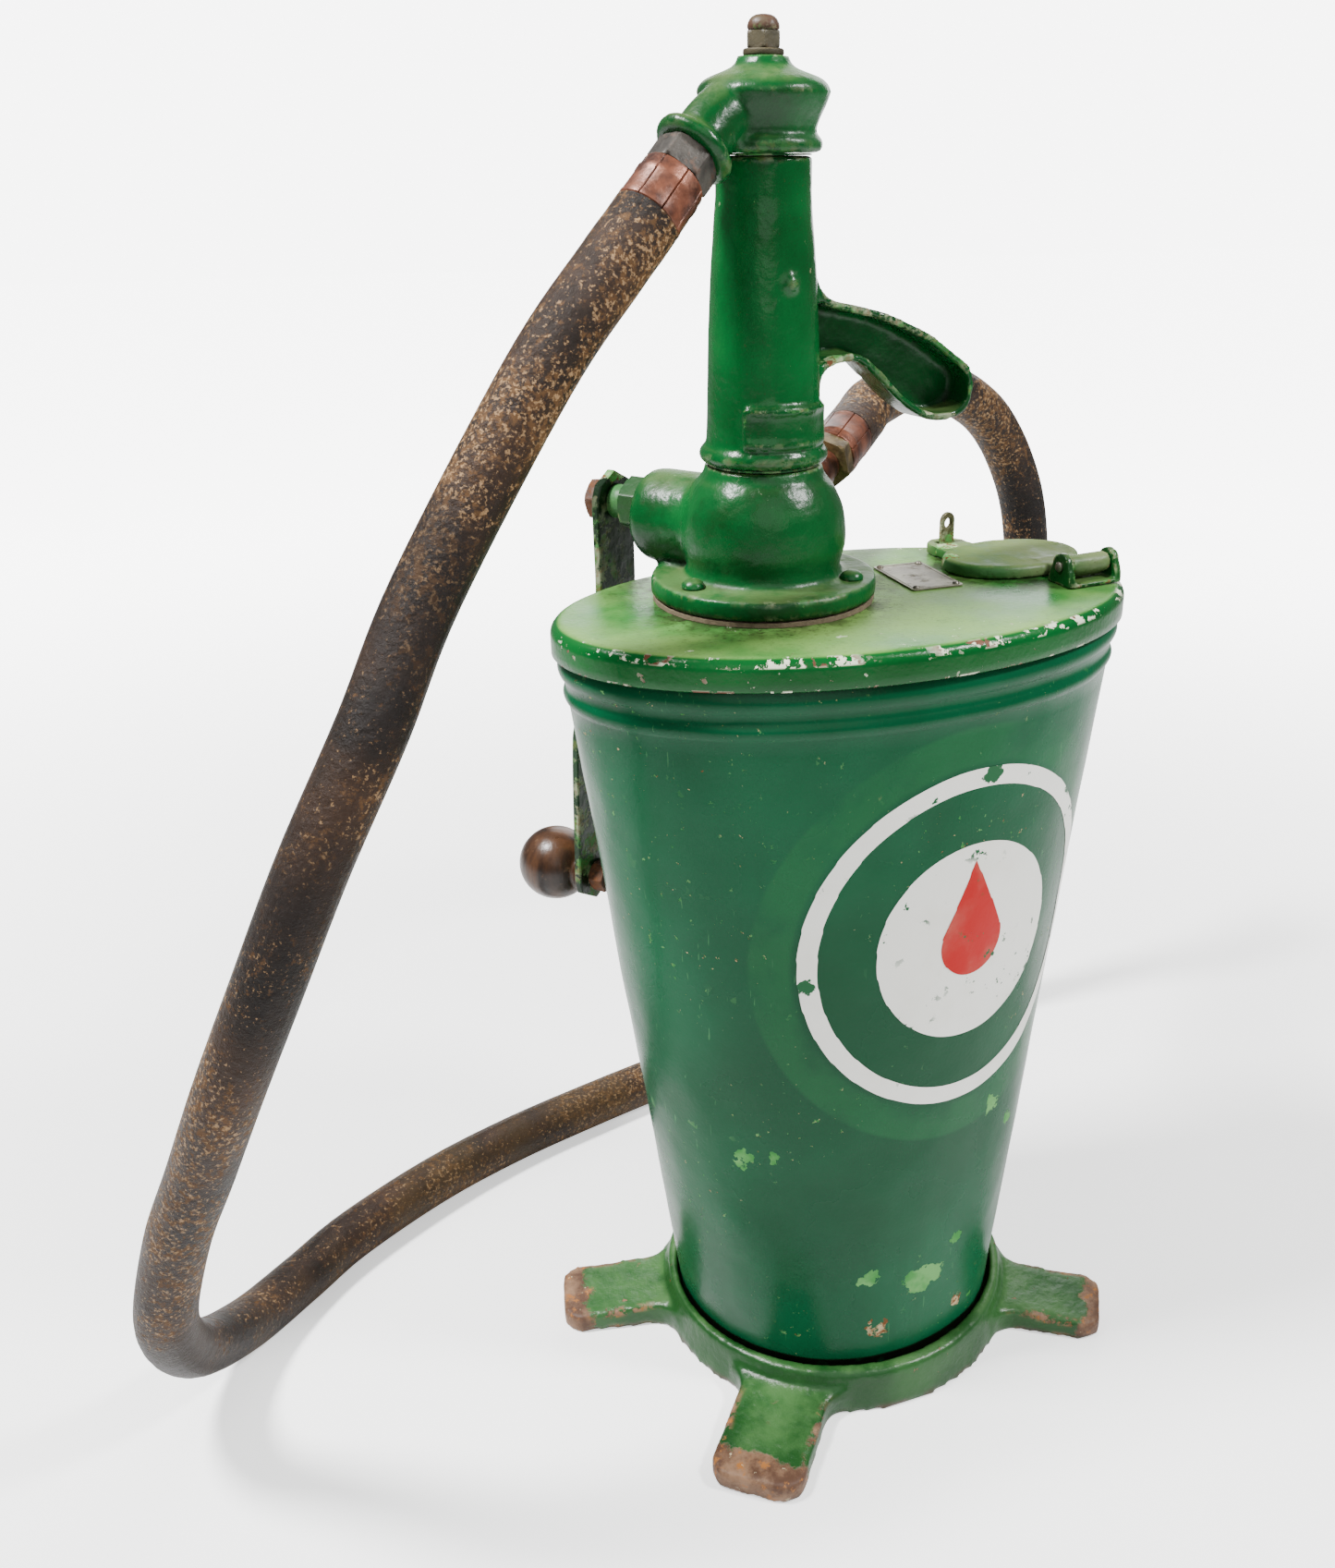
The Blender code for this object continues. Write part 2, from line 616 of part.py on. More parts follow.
def build_pump_body():
    profile = (
        (0.0, BODY_TOP_Z),
        (0.0320, BODY_TOP_Z),
        (0.0332, BODY_TOP_Z - 0.0012),
        (0.0332, BODY_TOP_Z - 0.0024),
        (0.0322, BODY_TOP_Z - 0.0040),
        (0.0345, 0.5730),
        (0.0380, 0.5690),
        (0.0412, 0.5635),
        (0.0445, 0.5560),
        (0.0459, 0.5485),
        (0.0464, 0.5400),
        (0.0459, 0.5330),
        (0.0441, 0.5265),
        (0.0436, 0.5225),
        (0.0438, 0.5192),
        (0.0446, FLANGE_Z[1]),
        (FLANGE_R - 0.0020, FLANGE_Z[1]),
        (FLANGE_R - 0.0006, FLANGE_Z[1] - 0.0006),
        (FLANGE_R, FLANGE_Z[1] - 0.0020),
        (FLANGE_R, FLANGE_Z[0]),
        (0.0, FLANGE_Z[0]),
    )
    body = lathe("pump_body", profile, PUMP_FRAME, GREEN, steps=32)
    boss = (
        (0.0, 0.077),
        (0.0205, 0.077),
        (0.0246, 0.0752),
        (0.0264, 0.0720),
        (0.0270, 0.0680),
        (0.0270, 0.020),
        (0.0, 0.020),
    )
    boss_frame = frame_at(lifted(PUMP, SHAFT_Z - BOSS_DROP), CRANK_DIR, (0, 0, 1))
    join(body, lathe("bearing_boss", boss, boss_frame, steps=28))
    web = frame_at(PUMP, (0, 0, 1), CRANK_DIR)
    web_outline = ((-0.017, 0.030), (0.017, 0.030), (0.017, 0.0585), (-0.017, 0.0585))
    join(body, prism("boss_web", web_outline, FLANGE_Z[1] - 0.004, 0.5290, web))
    spigot = (
        (0.0, 0.070),
        (0.0150, 0.070),
        (0.0170, 0.068),
        (0.0180, 0.030),
        (0.0, 0.030),
    )
    join(body, lathe("parking_boss", spigot, PARK_FRAME, steps=20))

    lobe = SHAFT_Z - IDLER_Z
    cut(body, prism("gear_chamber", stadium(CHAMBER_R, 0.0, lobe), -0.010, 0.010, IDLER))
    cut(body, rod("delivery_bore", DELIVERY_R, SHAFT_Z, 0.60, PUMP_FRAME))
    cut(body, rod("suction_bore", SUCTION_R, 0.50, IDLER_Z, PUMP_FRAME, steps=28))
    cut(body, rod("shaft_bore", SHAFT_R + GAP, -0.024, 0.060, SHAFT, steps=20))
    cut(body, rod("bush_bore", 0.0093, 0.021, 0.058, SHAFT, steps=24))
    cut(body, rod("packing_bore", 0.0150, 0.055, 0.080, SHAFT, steps=28))
    cut(body, rod("spindle_bore", 0.0040, -0.018, 0.018, IDLER, steps=16))
    cut(body, rod("spigot_bore", 0.0108, 0.052, 0.080, PARK_FRAME, steps=24))
    for i, azimuth in enumerate(SCREW_AZIMUTHS):
        at = frame_at(PUMP + SCREW_CIRCLE * direction(azimuth))
        cut(body, rod(f"flange_hole_{i + 1}", 0.0030, 0.50, 0.525, at, steps=16))


def build_pump_fittings():
    gasket_z = (LID_TOP_Z + GAP, FLANGE_Z[0] - GAP)
    gasket = ring("pump_gasket", SUCTION_PIPE_R + GAP, 0.0635, *gasket_z, PUMP_FRAME, FIBRE)
    for i, azimuth in enumerate(SCREW_AZIMUTHS):
        at = frame_at(PUMP + SCREW_CIRCLE * direction(azimuth))
        cut(gasket, rod(f"gasket_hole_{i + 1}", 0.0030, 0.50, 0.51, at, steps=16))
        seat = FLANGE_Z[1] + GAP
        profile = (
            (0.0, seat + 0.0048),
            (0.0030, seat + 0.0043),
            (0.0054, seat + 0.0026),
            (0.0066, seat),
            (0.0027, seat),
            (0.0027, 0.4960),
            (0.0, 0.4960),
        )
        lathe(f"flange_screw_{i + 1}", profile, at, GREEN, steps=20)

    inner = SUCTION_PIPE_R - 0.0018
    ring("suction_pipe", inner, SUCTION_PIPE_R, 0.024, FLANGE_Z[0] - GAP, PUMP_FRAME, STEEL, steps=24)
    strainer = (
        (SUCTION_PIPE_R + GAP, 0.046),
        (0.0160, 0.046),
        (0.0165, 0.036),
        (0.0230, 0.030),
        (0.0230, 0.014),
        (0.0215, 0.014),
        (0.0215, 0.0290),
        (SUCTION_PIPE_R + GAP, 0.0330),
    )
    cup = lathe("suction_strainer", strainer, PUMP_FRAME, BRASS, steps=24, closed=True)
    for i in range(4):
        at = frame_at(PUMP, (0, 0, 1), direction(45 * i))
        slit = ((-0.0020, -0.03), (0.0020, -0.03), (0.0020, 0.03), (-0.0020, 0.03))
        cut(cup, prism(f"strainer_slit_{i + 1}", slit, 0.010, 0.024, at))

    ring("shaft_bush", SHAFT_R + GAP, 0.0090, 0.0213, 0.0547, SHAFT, BRASS, steps=24)
    ring("gland_packing", SHAFT_R + GAP, 0.0147, 0.0553, 0.0767, SHAFT, FIBRE, steps=24)
    gland = prism("gland_nut", hexagon(0.028), 0.0773, 0.0902, SHAFT, STEEL)
    cut(gland, rod("gland_bore", SHAFT_R + GAP, 0.07, 0.10, SHAFT, steps=20))
    rod("idler_spindle", 0.0037, -0.0177, 0.0177, IDLER, STEEL, steps=16)


def gear(name, frame, phase, bore):
    outline = []
    steps = TEETH * 6
    for i in range(steps):
        a = 2 * math.pi * i / steps
        r = GEAR_R + TOOTH * math.cos(TEETH * a + phase)
        outline.append((r * math.sin(a), -r * math.cos(a)))
    obj = prism(name, outline, -GEAR_HALF, GEAR_HALF, frame, STEEL)
    cut(obj, rod(name + "_bore", bore, -0.02, 0.02, frame, steps=20))


def build_crank():
    gear("drive_gear", SHAFT, 0.0, SHAFT_R + GAP)
    gear("idler_gear", IDLER, math.pi, 0.0040)
    rod("crank_shaft", SHAFT_R, -0.0235, 0.1175, SHAFT, STEEL, steps=20, edge=0.0008)
    ring("crank_hub", SHAFT_R + GAP, 0.0100, 0.0905, 0.1012, SHAFT, GREEN, steps=28)

    top = SHAFT_Z + ARM_HALF
    drop = KNOB_Z - SHAFT_Z
    arm = prism("crank_arm", stadium(ARM_HALF, drop, 0.0), 0.09, 0.15, SHAFT, GREEN)
    centre_line = (
        (0.1040, top + 0.01),
        (0.1040, 0.4950),
        (0.1062, 0.4820),
        (0.1240, 0.4130),
        (0.1275, 0.3980),
        (0.1305, 0.3500),
        (0.1328, 0.2600),
    )
    half = ARM_THICK / 2
    strip = [(s + half, z - SHAFT_Z) for s, z in reversed(centre_line)]
    strip += [(s - half, z - SHAFT_Z) for s, z in centre_line]
    side_on = frame_at(lifted(PUMP, SHAFT_Z), SHAFT.col[0].xyz * -1, (0, 0, 1))
    combine(arm, prism("arm_strip", strip, -0.03, 0.03, side_on), "INTERSECT")
    cut(arm, rod("arm_shaft_hole", SHAFT_R + GAP, 0.08, 0.16, SHAFT, steps=20))
    cut(arm, rod("arm_knob_hole", SPINDLE_R + GAP, 0.08, 0.16, KNOB, steps=20))
    nut = prism("crank_nut", hexagon(0.023), 0.1068, 0.1158, SHAFT, RUST)
    cut(nut, rod("crank_nut_bore", SHAFT_R + GAP, 0.10, 0.13, SHAFT, steps=20))

    rod("knob_spindle", SPINDLE_R, 0.1150, 0.1775, KNOB, STEEL, steps=20, edge=0.0008)
    nut = prism("spindle_nut", hexagon(0.0195), 0.1185, 0.1292, KNOB, RUST)
    cut(nut, rod("spindle_nut_bore", SPINDLE_R + GAP, 0.11, 0.14, KNOB, steps=20))
    profile = [(0.0, KNOB_CENTRE + KNOB_R)] + arc((0.0, KNOB_CENTRE), KNOB_R, 90, -58, 12)[1:]
    profile += [(0.0118, 0.1395), (0.0125, 0.1372), (0.0118, 0.1362), (SPINDLE_R + GAP, 0.1362)]
    profile += [(SPINDLE_R + GAP, 0.1780), (0.0, 0.1780)]
    lathe("crank_knob", profile, KNOB, WOOD, steps=24)


def spout_outline():
    """Side view of the spout in the plane of its bend: distance from the pump axis, height."""
    anchors = (
        (0.0185, 0.6900),
        (0.0264, 0.6761),
        (0.0324, 0.6675),
        (0.0384, 0.6639),
        (0.0565, 0.6597),
        (0.0744, 0.6549),
        (0.1015, 0.6435),
        (0.1191, 0.6323),
        (0.1310, 0.6238),
        (0.1357, 0.6146),
        (0.1339, 0.6027),
        (0.1262, 0.5957),
        (0.1130, 0.5938),
        (0.1002, 0.5966),
        (0.0835, 0.6068),
        (0.0683, 0.6206),
        (0.0543, 0.6306),
        (0.0392, 0.6301),
        (0.0320, 0.6257),
        (0.0275, 0.6138),
        (0.0230, 0.6060),
    )
    dense = smooth_path([(x, z, 0) for x, z in anchors], (0.0185, 0.69, 0), (0.023, 0.606, 0), 44)
    outline = [(p.x, p.y) for p in dense]
    return [(0.0185, 0.6900)] + outline[1:-1] + [(0.0185, 0.6040)]


def inset(outline, distance):
    """The outline moved inward; its points run clockwise."""
    moved = []
    for before, here, after in zip(outline[-1:] + outline, outline, outline[1:] + outline[:1]):
        along = Vector((after[0] - before[0], after[1] - before[1])).normalized()
        moved.append((here[0] + along.y * distance, here[1] - along.x * distance))
    return moved


def build_column():
    low, high = COLUMN_Z
    profile = (
        (0.0, high),
        (0.0250, high),
        (0.0250, 0.7170),
        (0.0265, 0.7000),
        (0.0282, 0.6760),
        (0.0297, 0.6480),
        (0.0310, 0.6040),
        (0.0317, 0.5900),
        (0.0338, 0.5890),
        (0.0352, 0.5873),
        (0.0357, 0.5850),
        (0.0352, 0.5828),
        (0.0338, 0.5812),
        (0.0325, low),
        (0.0, low),
    )
    column = lathe("column", profile, PUMP_FRAME, GREEN, steps=32)

    outline = spout_outline()
    join(column, prism("spout", outline, -SPOUT_HALF, SPOUT_HALF, SPOUT_FRAME))
    pocket = [p for p in inset(outline, SPOUT_RIM) if p[0] > 0.0315]
    cut(column, prism("spout_pocket", pocket, -0.0070, 0.030, SPOUT_FRAME))
    panel = arc((0.0, 0.0), 0.0336, -49, 49, 10) + arc((0.0, 0.0), 0.0260, 49, -49, 6)
    panel_frame = frame_at(PUMP, (0, 0, 1), direction(SPOUT_AZIMUTH))
    join(column, prism("blank_panel", panel, 0.5930, 0.6130, panel_frame, rounding=0.0012))
    bump_at = PUMP + 0.0262 * direction(SPOUT_AZIMUTH - 90)
    bump = ((0.0, 0.0048), (0.0028, 0.0040), (0.0045, 0.0018), (0.0048, -0.004), (0.0, -0.004))
    bump_frame = frame_at(lifted(bump_at, 0.675), direction(SPOUT_AZIMUTH - 90), (0, 0, 1))
    join(column, lathe("small_bump", bump, bump_frame, steps=16))

    cut(column, rod("column_bore", COLUMN_BORE, 0.6030, 0.75, PUMP_FRAME))
    port = frame_at(PUMP, (0, 0, 1), direction(SPOUT_AZIMUTH))
    for i, side in enumerate((-1, 1)):
        edge = arc((0.0, 0.0), DELIVERY_R, -65, 65, 8)
        half_moon = [(side * x, side * y) for x, y in edge]
        cut(column, prism(f"column_port_{i + 1}", half_moon, 0.57, 0.6045, port))
    cut(column, rod("rod_socket", ROD_R + GAP, 0.5900, 0.61, PUMP_FRAME, steps=16))
    ring("column_gasket", 0.0185, 0.0315, BODY_TOP_Z + GAP, low - GAP, PUMP_FRAME, FIBRE)


def build_head():
    low, high = HEAD_Z
    profile = (
        (0.0, high),
        (0.0130, high),
        (0.0135, high - 0.0005),
        (0.0135, 0.7780),
        (0.0150, 0.7766),
        (0.0198, 0.7746),
        (0.0287, 0.7713),
        (0.0329, 0.7680),
        (0.0335, 0.7655),
        (0.0333, 0.7635),
        (0.0326, 0.7612),
        (0.0312, 0.7578),
        (0.0294, 0.7544),
        (0.0279, 0.7510),
        (0.0264, 0.7465),
        (0.0284, 0.7444),
        (0.0300, 0.7429),
        (0.0306, 0.7407),
        (0.0300, 0.7387),
        (0.0284, low + 0.0002),
        (0.0270, low),
        (0.0, low),
    )
    head = lathe("pump_head", profile, PUMP_FRAME, GREEN, steps=28)
    line = ((0.0060, 0.7575), (0.0170, 0.7565), (0.0250, 0.7547), (0.0320, 0.7519), (0.0380, 0.7478))
    away = direction(ELBOW_AZIMUTH)
    path = [PUMP + h * away + Vector((0, 0, z)) for h, z in line] + [ELBOW_END]
    join(head, tube("elbow", path, ELBOW_R, sides=4))
    torus = (
        (0.0, 0.0040),
        (0.0170, 0.0040),
        (0.0198, 0.0028),
        (0.0210, 0.0),
        (0.0198, -0.0028),
        (0.0170, -0.0040),
        (0.0, -0.0040),
    )
    join(head, lathe("elbow_ring", torus, ELBOW_FRAME, steps=24))
    bore_path = path[:-1] + [ELBOW_END + 0.02 * ELBOW_DIR]
    cut(head, rod("head_bore", COLUMN_BORE, 0.73, 0.7640, PUMP_FRAME))
    cut(head, tube("elbow_bore", bore_path, 0.0095, sides=3))
    cut(head, rod("head_rod_hole", ROD_R + GAP, 0.75, 0.80, PUMP_FRAME, steps=16))

    ring("head_gasket", 0.0185, 0.0248, COLUMN_Z[1] + GAP, low - GAP, PUMP_FRAME, FIBRE)
    hole = ROD_R + GAP
    ring("top_washer", hole, 0.0102, high + GAP, 0.7846, PUMP_FRAME, STEEL, steps=28)
    stem = prism("top_nut", hexagon(0.0152), 0.7849, 0.7924, PUMP_FRAME, GREEN)
    cut(stem, rod("top_nut_bore", hole, 0.78, 0.80, PUMP_FRAME, steps=16))
    acorn = (
        (0.0, 0.8000),
        (0.0035, 0.7994),
        (0.0062, 0.7978),
        (0.0076, 0.7955),
        (0.0080, 0.7927),
        (hole, 0.7927),
        (hole, 0.7970),
        (0.0, 0.7970),
    )
    lathe("acorn_nut", acorn, PUMP_FRAME, RUST, steps=24)
    rod("tie_rod", ROD_R, 0.5903, 0.7965, PUMP_FRAME, STEEL, steps=16, edge=0.0006)


def build_hose():
    union = prism("delivery_union", hexagon(0.029), 0.0060, 0.0180, ELBOW_FRAME, BRASS)
    join(union, rod("union_collar", 0.0140, 0.0043, 0.0100, ELBOW_FRAME, steps=28))
    cut(union, rod("union_bore", 0.0095, -0.01, 0.03, ELBOW_FRAME, steps=20))
    ring("delivery_ferrule", 0.0095, 0.0172, 0.0183, 0.0440, ELBOW_FRAME, COPPER)

    ring("park_nozzle", 0.0070, 0.0105, 0.0523, 0.1117, PARK_FRAME, COPPER, steps=24)
    hex_nut = prism("park_union", hexagon(0.030), 0.1120, 0.1240, PARK_FRAME, BRASS)
    cut(hex_nut, rod("park_union_bore", 0.0095, 0.10, 0.13, PARK_FRAME, steps=20))
    ring("park_ferrule", 0.0095, 0.0172, 0.1243, 0.1600, PARK_FRAME, COPPER)

    start = ELBOW_END + 0.0443 * ELBOW_DIR
    end = lifted(PUMP, PARK_Z) + 0.1603 * PARK_DIR
    leave = start + HOSE_STRAIGHT * ELBOW_DIR
    arrive = end + HOSE_STRAIGHT * PARK_DIR
    route = (leave,) + HOSE_ROUTE + (arrive,)
    path = smooth_path(route, start, end, HOSE_POINTS)
    tube("hose", [start] + path + [end], HOSE_R, RUBBER, sides=2)


clear_scene()
build_base()
build_tank()
build_lid()
build_plate()
build_filler()
build_hinge()
build_pump_body()
build_pump_fittings()
build_crank()
build_column()
build_head()
build_hose()
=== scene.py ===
import math

import bmesh
import bpy
from mathutils import Matrix, Vector, noise


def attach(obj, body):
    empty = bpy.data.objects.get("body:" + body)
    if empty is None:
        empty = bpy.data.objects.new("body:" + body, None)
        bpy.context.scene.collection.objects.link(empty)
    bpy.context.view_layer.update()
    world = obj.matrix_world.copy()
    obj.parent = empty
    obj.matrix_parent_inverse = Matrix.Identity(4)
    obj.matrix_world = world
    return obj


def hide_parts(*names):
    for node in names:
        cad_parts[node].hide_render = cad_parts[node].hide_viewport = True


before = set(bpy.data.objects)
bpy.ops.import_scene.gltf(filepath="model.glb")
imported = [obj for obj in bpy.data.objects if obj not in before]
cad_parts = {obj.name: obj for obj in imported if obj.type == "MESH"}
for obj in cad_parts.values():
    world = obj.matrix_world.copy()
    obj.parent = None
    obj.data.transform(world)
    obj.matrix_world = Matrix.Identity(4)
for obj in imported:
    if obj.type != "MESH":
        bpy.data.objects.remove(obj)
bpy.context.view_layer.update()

SCENE = bpy.context.scene

# ---------------------------------------------------------------- sizes shared with the CAD model
PUMP = Vector((-0.0456, 0.0184, 0.0))
SHAFT_Z = 0.5465
KNOB_Z = 0.2907
CRANK_AZIMUTH = 128.3
SPOUT_AZIMUTH = 8.9
ELBOW_AZIMUTH = 204.3
ELBOW_FALL = 43.0
PARK_AZIMUTH = 48.3
PARK_RISE = 11.5
PARK_Z = 0.535
HOSE_R = 0.0175
HINGE = Vector((0.1416, -0.0255, 0.5145))
HINGE_AZIMUTH = 5.1
FILLER = Vector((0.1205, 0.0245, 0.0))
STAPLE = Vector((0.0980, 0.0660, 0.0))
STAPLE_AZIMUTH = 18.0
PLATE = Vector((0.0545, 0.0205, 0.0))
LID = (0.1741, 0.1035)
LID_TOP = 0.5031
HOSE_ROUTE = (
    (-0.141, -0.025, 0.687),
    (-0.182, -0.038, 0.641),
    (-0.247, -0.057, 0.547),
    (-0.281, -0.080, 0.491),
    (-0.316, -0.092, 0.432),
    (-0.345, -0.092, 0.371),
    (-0.370, -0.082, 0.312),
    (-0.391, -0.059, 0.251),
    (-0.411, -0.037, 0.193),
    (-0.426, -0.013, 0.122),
    (-0.418, 0.026, 0.064),
    (-0.390, 0.074, 0.030),
    (-0.353, 0.116, 0.019),
    (-0.312, 0.150, 0.019),
    (-0.246, 0.189, 0.019),
    (-0.182, 0.217, 0.018),
    (-0.117, 0.237, 0.018),
    (-0.048, 0.255, 0.018),
    (0.020, 0.267, 0.019),
    (0.088, 0.272, 0.018),
    (0.151, 0.273, 0.020),
    (0.209, 0.272, 0.040),
    (0.256, 0.270, 0.085),
    (0.280, 0.268, 0.149),
    (0.282, 0.265, 0.220),
    (0.281, 0.259, 0.290),
    (0.278, 0.255, 0.360),
    (0.280, 0.260, 0.427),
    (0.268, 0.261, 0.493),
    (0.226, 0.247, 0.553),
    (0.158, 0.215, 0.585),
    (0.101, 0.179, 0.581),
    (0.078, 0.157, 0.573),
)


# ---------------------------------------------------------------- placing
def direction(azimuth, rise=0.0):
    a = math.radians(azimuth)
    e = math.radians(rise)
    return Vector((math.cos(e) * math.cos(a), math.cos(e) * math.sin(a), math.sin(e)))


def frame_at(origin, axis=(0, 0, 1), up=(0, 1, 0)):
    z = Vector(axis).normalized()
    x = Vector(up).cross(z).normalized()
    matrix = Matrix((x, z.cross(x), z)).transposed().to_4x4()
    matrix.translation = origin
    return matrix


def lifted(base, z):
    return Vector((base[0], base[1], z))


FLOOR = frame_at((0, 0, 0))
PUMP_FRAME = frame_at(PUMP)
CRANK_DIR = direction(CRANK_AZIMUTH)
SHAFT = frame_at(lifted(PUMP, SHAFT_Z), CRANK_DIR, (0, 0, 1))
KNOB = frame_at(lifted(PUMP, KNOB_Z), CRANK_DIR, (0, 0, 1))
SPOUT_FRAME = frame_at(PUMP, direction(SPOUT_AZIMUTH - 90), (0, 0, 1))
HINGE_FRAME = frame_at(HINGE, (0, 0, 1), direction(HINGE_AZIMUTH + 90))
ELBOW_DIR = direction(ELBOW_AZIMUTH, -ELBOW_FALL)
ELBOW_END = PUMP + 0.0488 * direction(ELBOW_AZIMUTH) + Vector((0, 0, 0.7385))
ELBOW_FRAME = frame_at(ELBOW_END, ELBOW_DIR, (0, 0, 1))
PARK_DIR = direction(PARK_AZIMUTH, PARK_RISE)
PARK_FRAME = frame_at(lifted(PUMP, PARK_Z), PARK_DIR, (0, 0, 1))


# ---------------------------------------------------------------- camera, light and floor
def build_stage():
    pitch = math.radians(23.64)
    heading = math.radians(21.68)
    ahead = Vector((math.cos(pitch) * math.sin(heading), math.cos(pitch) * math.cos(heading), -math.sin(pitch)))
    right = Vector((math.cos(heading), -math.sin(heading), 0.0))
    up = right.cross(ahead)
    data = bpy.data.cameras.new("camera")
    data.sensor_width = 36.0
    data.lens = 33.63
    data.shift_x = -0.0611
    camera = bpy.data.objects.new("camera", data)
    camera.matrix_world = Matrix((right, up, -ahead)).transposed().to_4x4()
    camera.matrix_world.translation = (-0.3468, -0.7391, 0.7415)
    SCENE.collection.objects.link(camera)
    SCENE.camera = camera

    aim = Vector((0.0, 0.0, 0.42))
    for name, across, rise, back, size, power in (
        ("key_left", -0.52, 0.72, 0.46, 0.40, 112.0),
        ("key_right", 0.66, 0.60, 0.46, 0.30, 50.0),
        ("front_fill", 0.10, 0.15, 0.98, 1.60, 10.0),
        ("back_fill", 0.10, 0.70, -0.75, 1.60, 26.0),
    ):
        light = bpy.data.lights.new(name, "AREA")
        light.shape = "DISK"
        light.size = size
        light.energy = power
        lamp = bpy.data.objects.new(name, light)
        place = aim + 1.9 * (across * right + rise * up - back * ahead)
        lamp.matrix_world = frame_at(place, place - aim, (0, 0, 1))
        SCENE.collection.objects.link(lamp)

    world = bpy.data.worlds.new("studio")
    SCENE.world = world
    world.use_nodes = True
    sky = world.node_tree.nodes["Background"]
    sky.inputs["Color"].default_value = (1.0, 1.0, 1.0, 1.0)
    seen = world.node_tree.nodes.new("ShaderNodeLightPath").outputs["Is Camera Ray"]
    level = world.node_tree.nodes.new("ShaderNodeMapRange")
    level.inputs["To Min"].default_value = 0.24
    level.inputs["To Max"].default_value = 7.0
    world.node_tree.links.new(seen, level.inputs["Value"])
    world.node_tree.links.new(level.outputs["Result"], sky.inputs["Strength"])

    floor = mesh_object("studio_floor", [(-9, -9, 0), (9, -9, 0), (9, 9, 0), (-9, 9, 0)], [(0, 1, 2, 3)])
    made = Paint("studio_floor_pale", 0.8)
    made.colour(made.mix(made.noise(3.0), (0.90, 0.90, 0.90), (0.94, 0.94, 0.93)))
    made.shader.inputs["Emission Color"].default_value = (1.0, 1.0, 1.0, 1.0)
    to_eye = made.tree.nodes.new("ShaderNodeLightPath").outputs["Is Camera Ray"]
    sweep = made.math("ADD", made.times(made.step(made.away((0.0, 0.0, 0.0)), 0.4, 2.6), 6.0), 0.9)
    made.link(made.times(sweep, to_eye), made.shader.inputs["Emission Strength"])
    floor.data.materials.append(made.done())


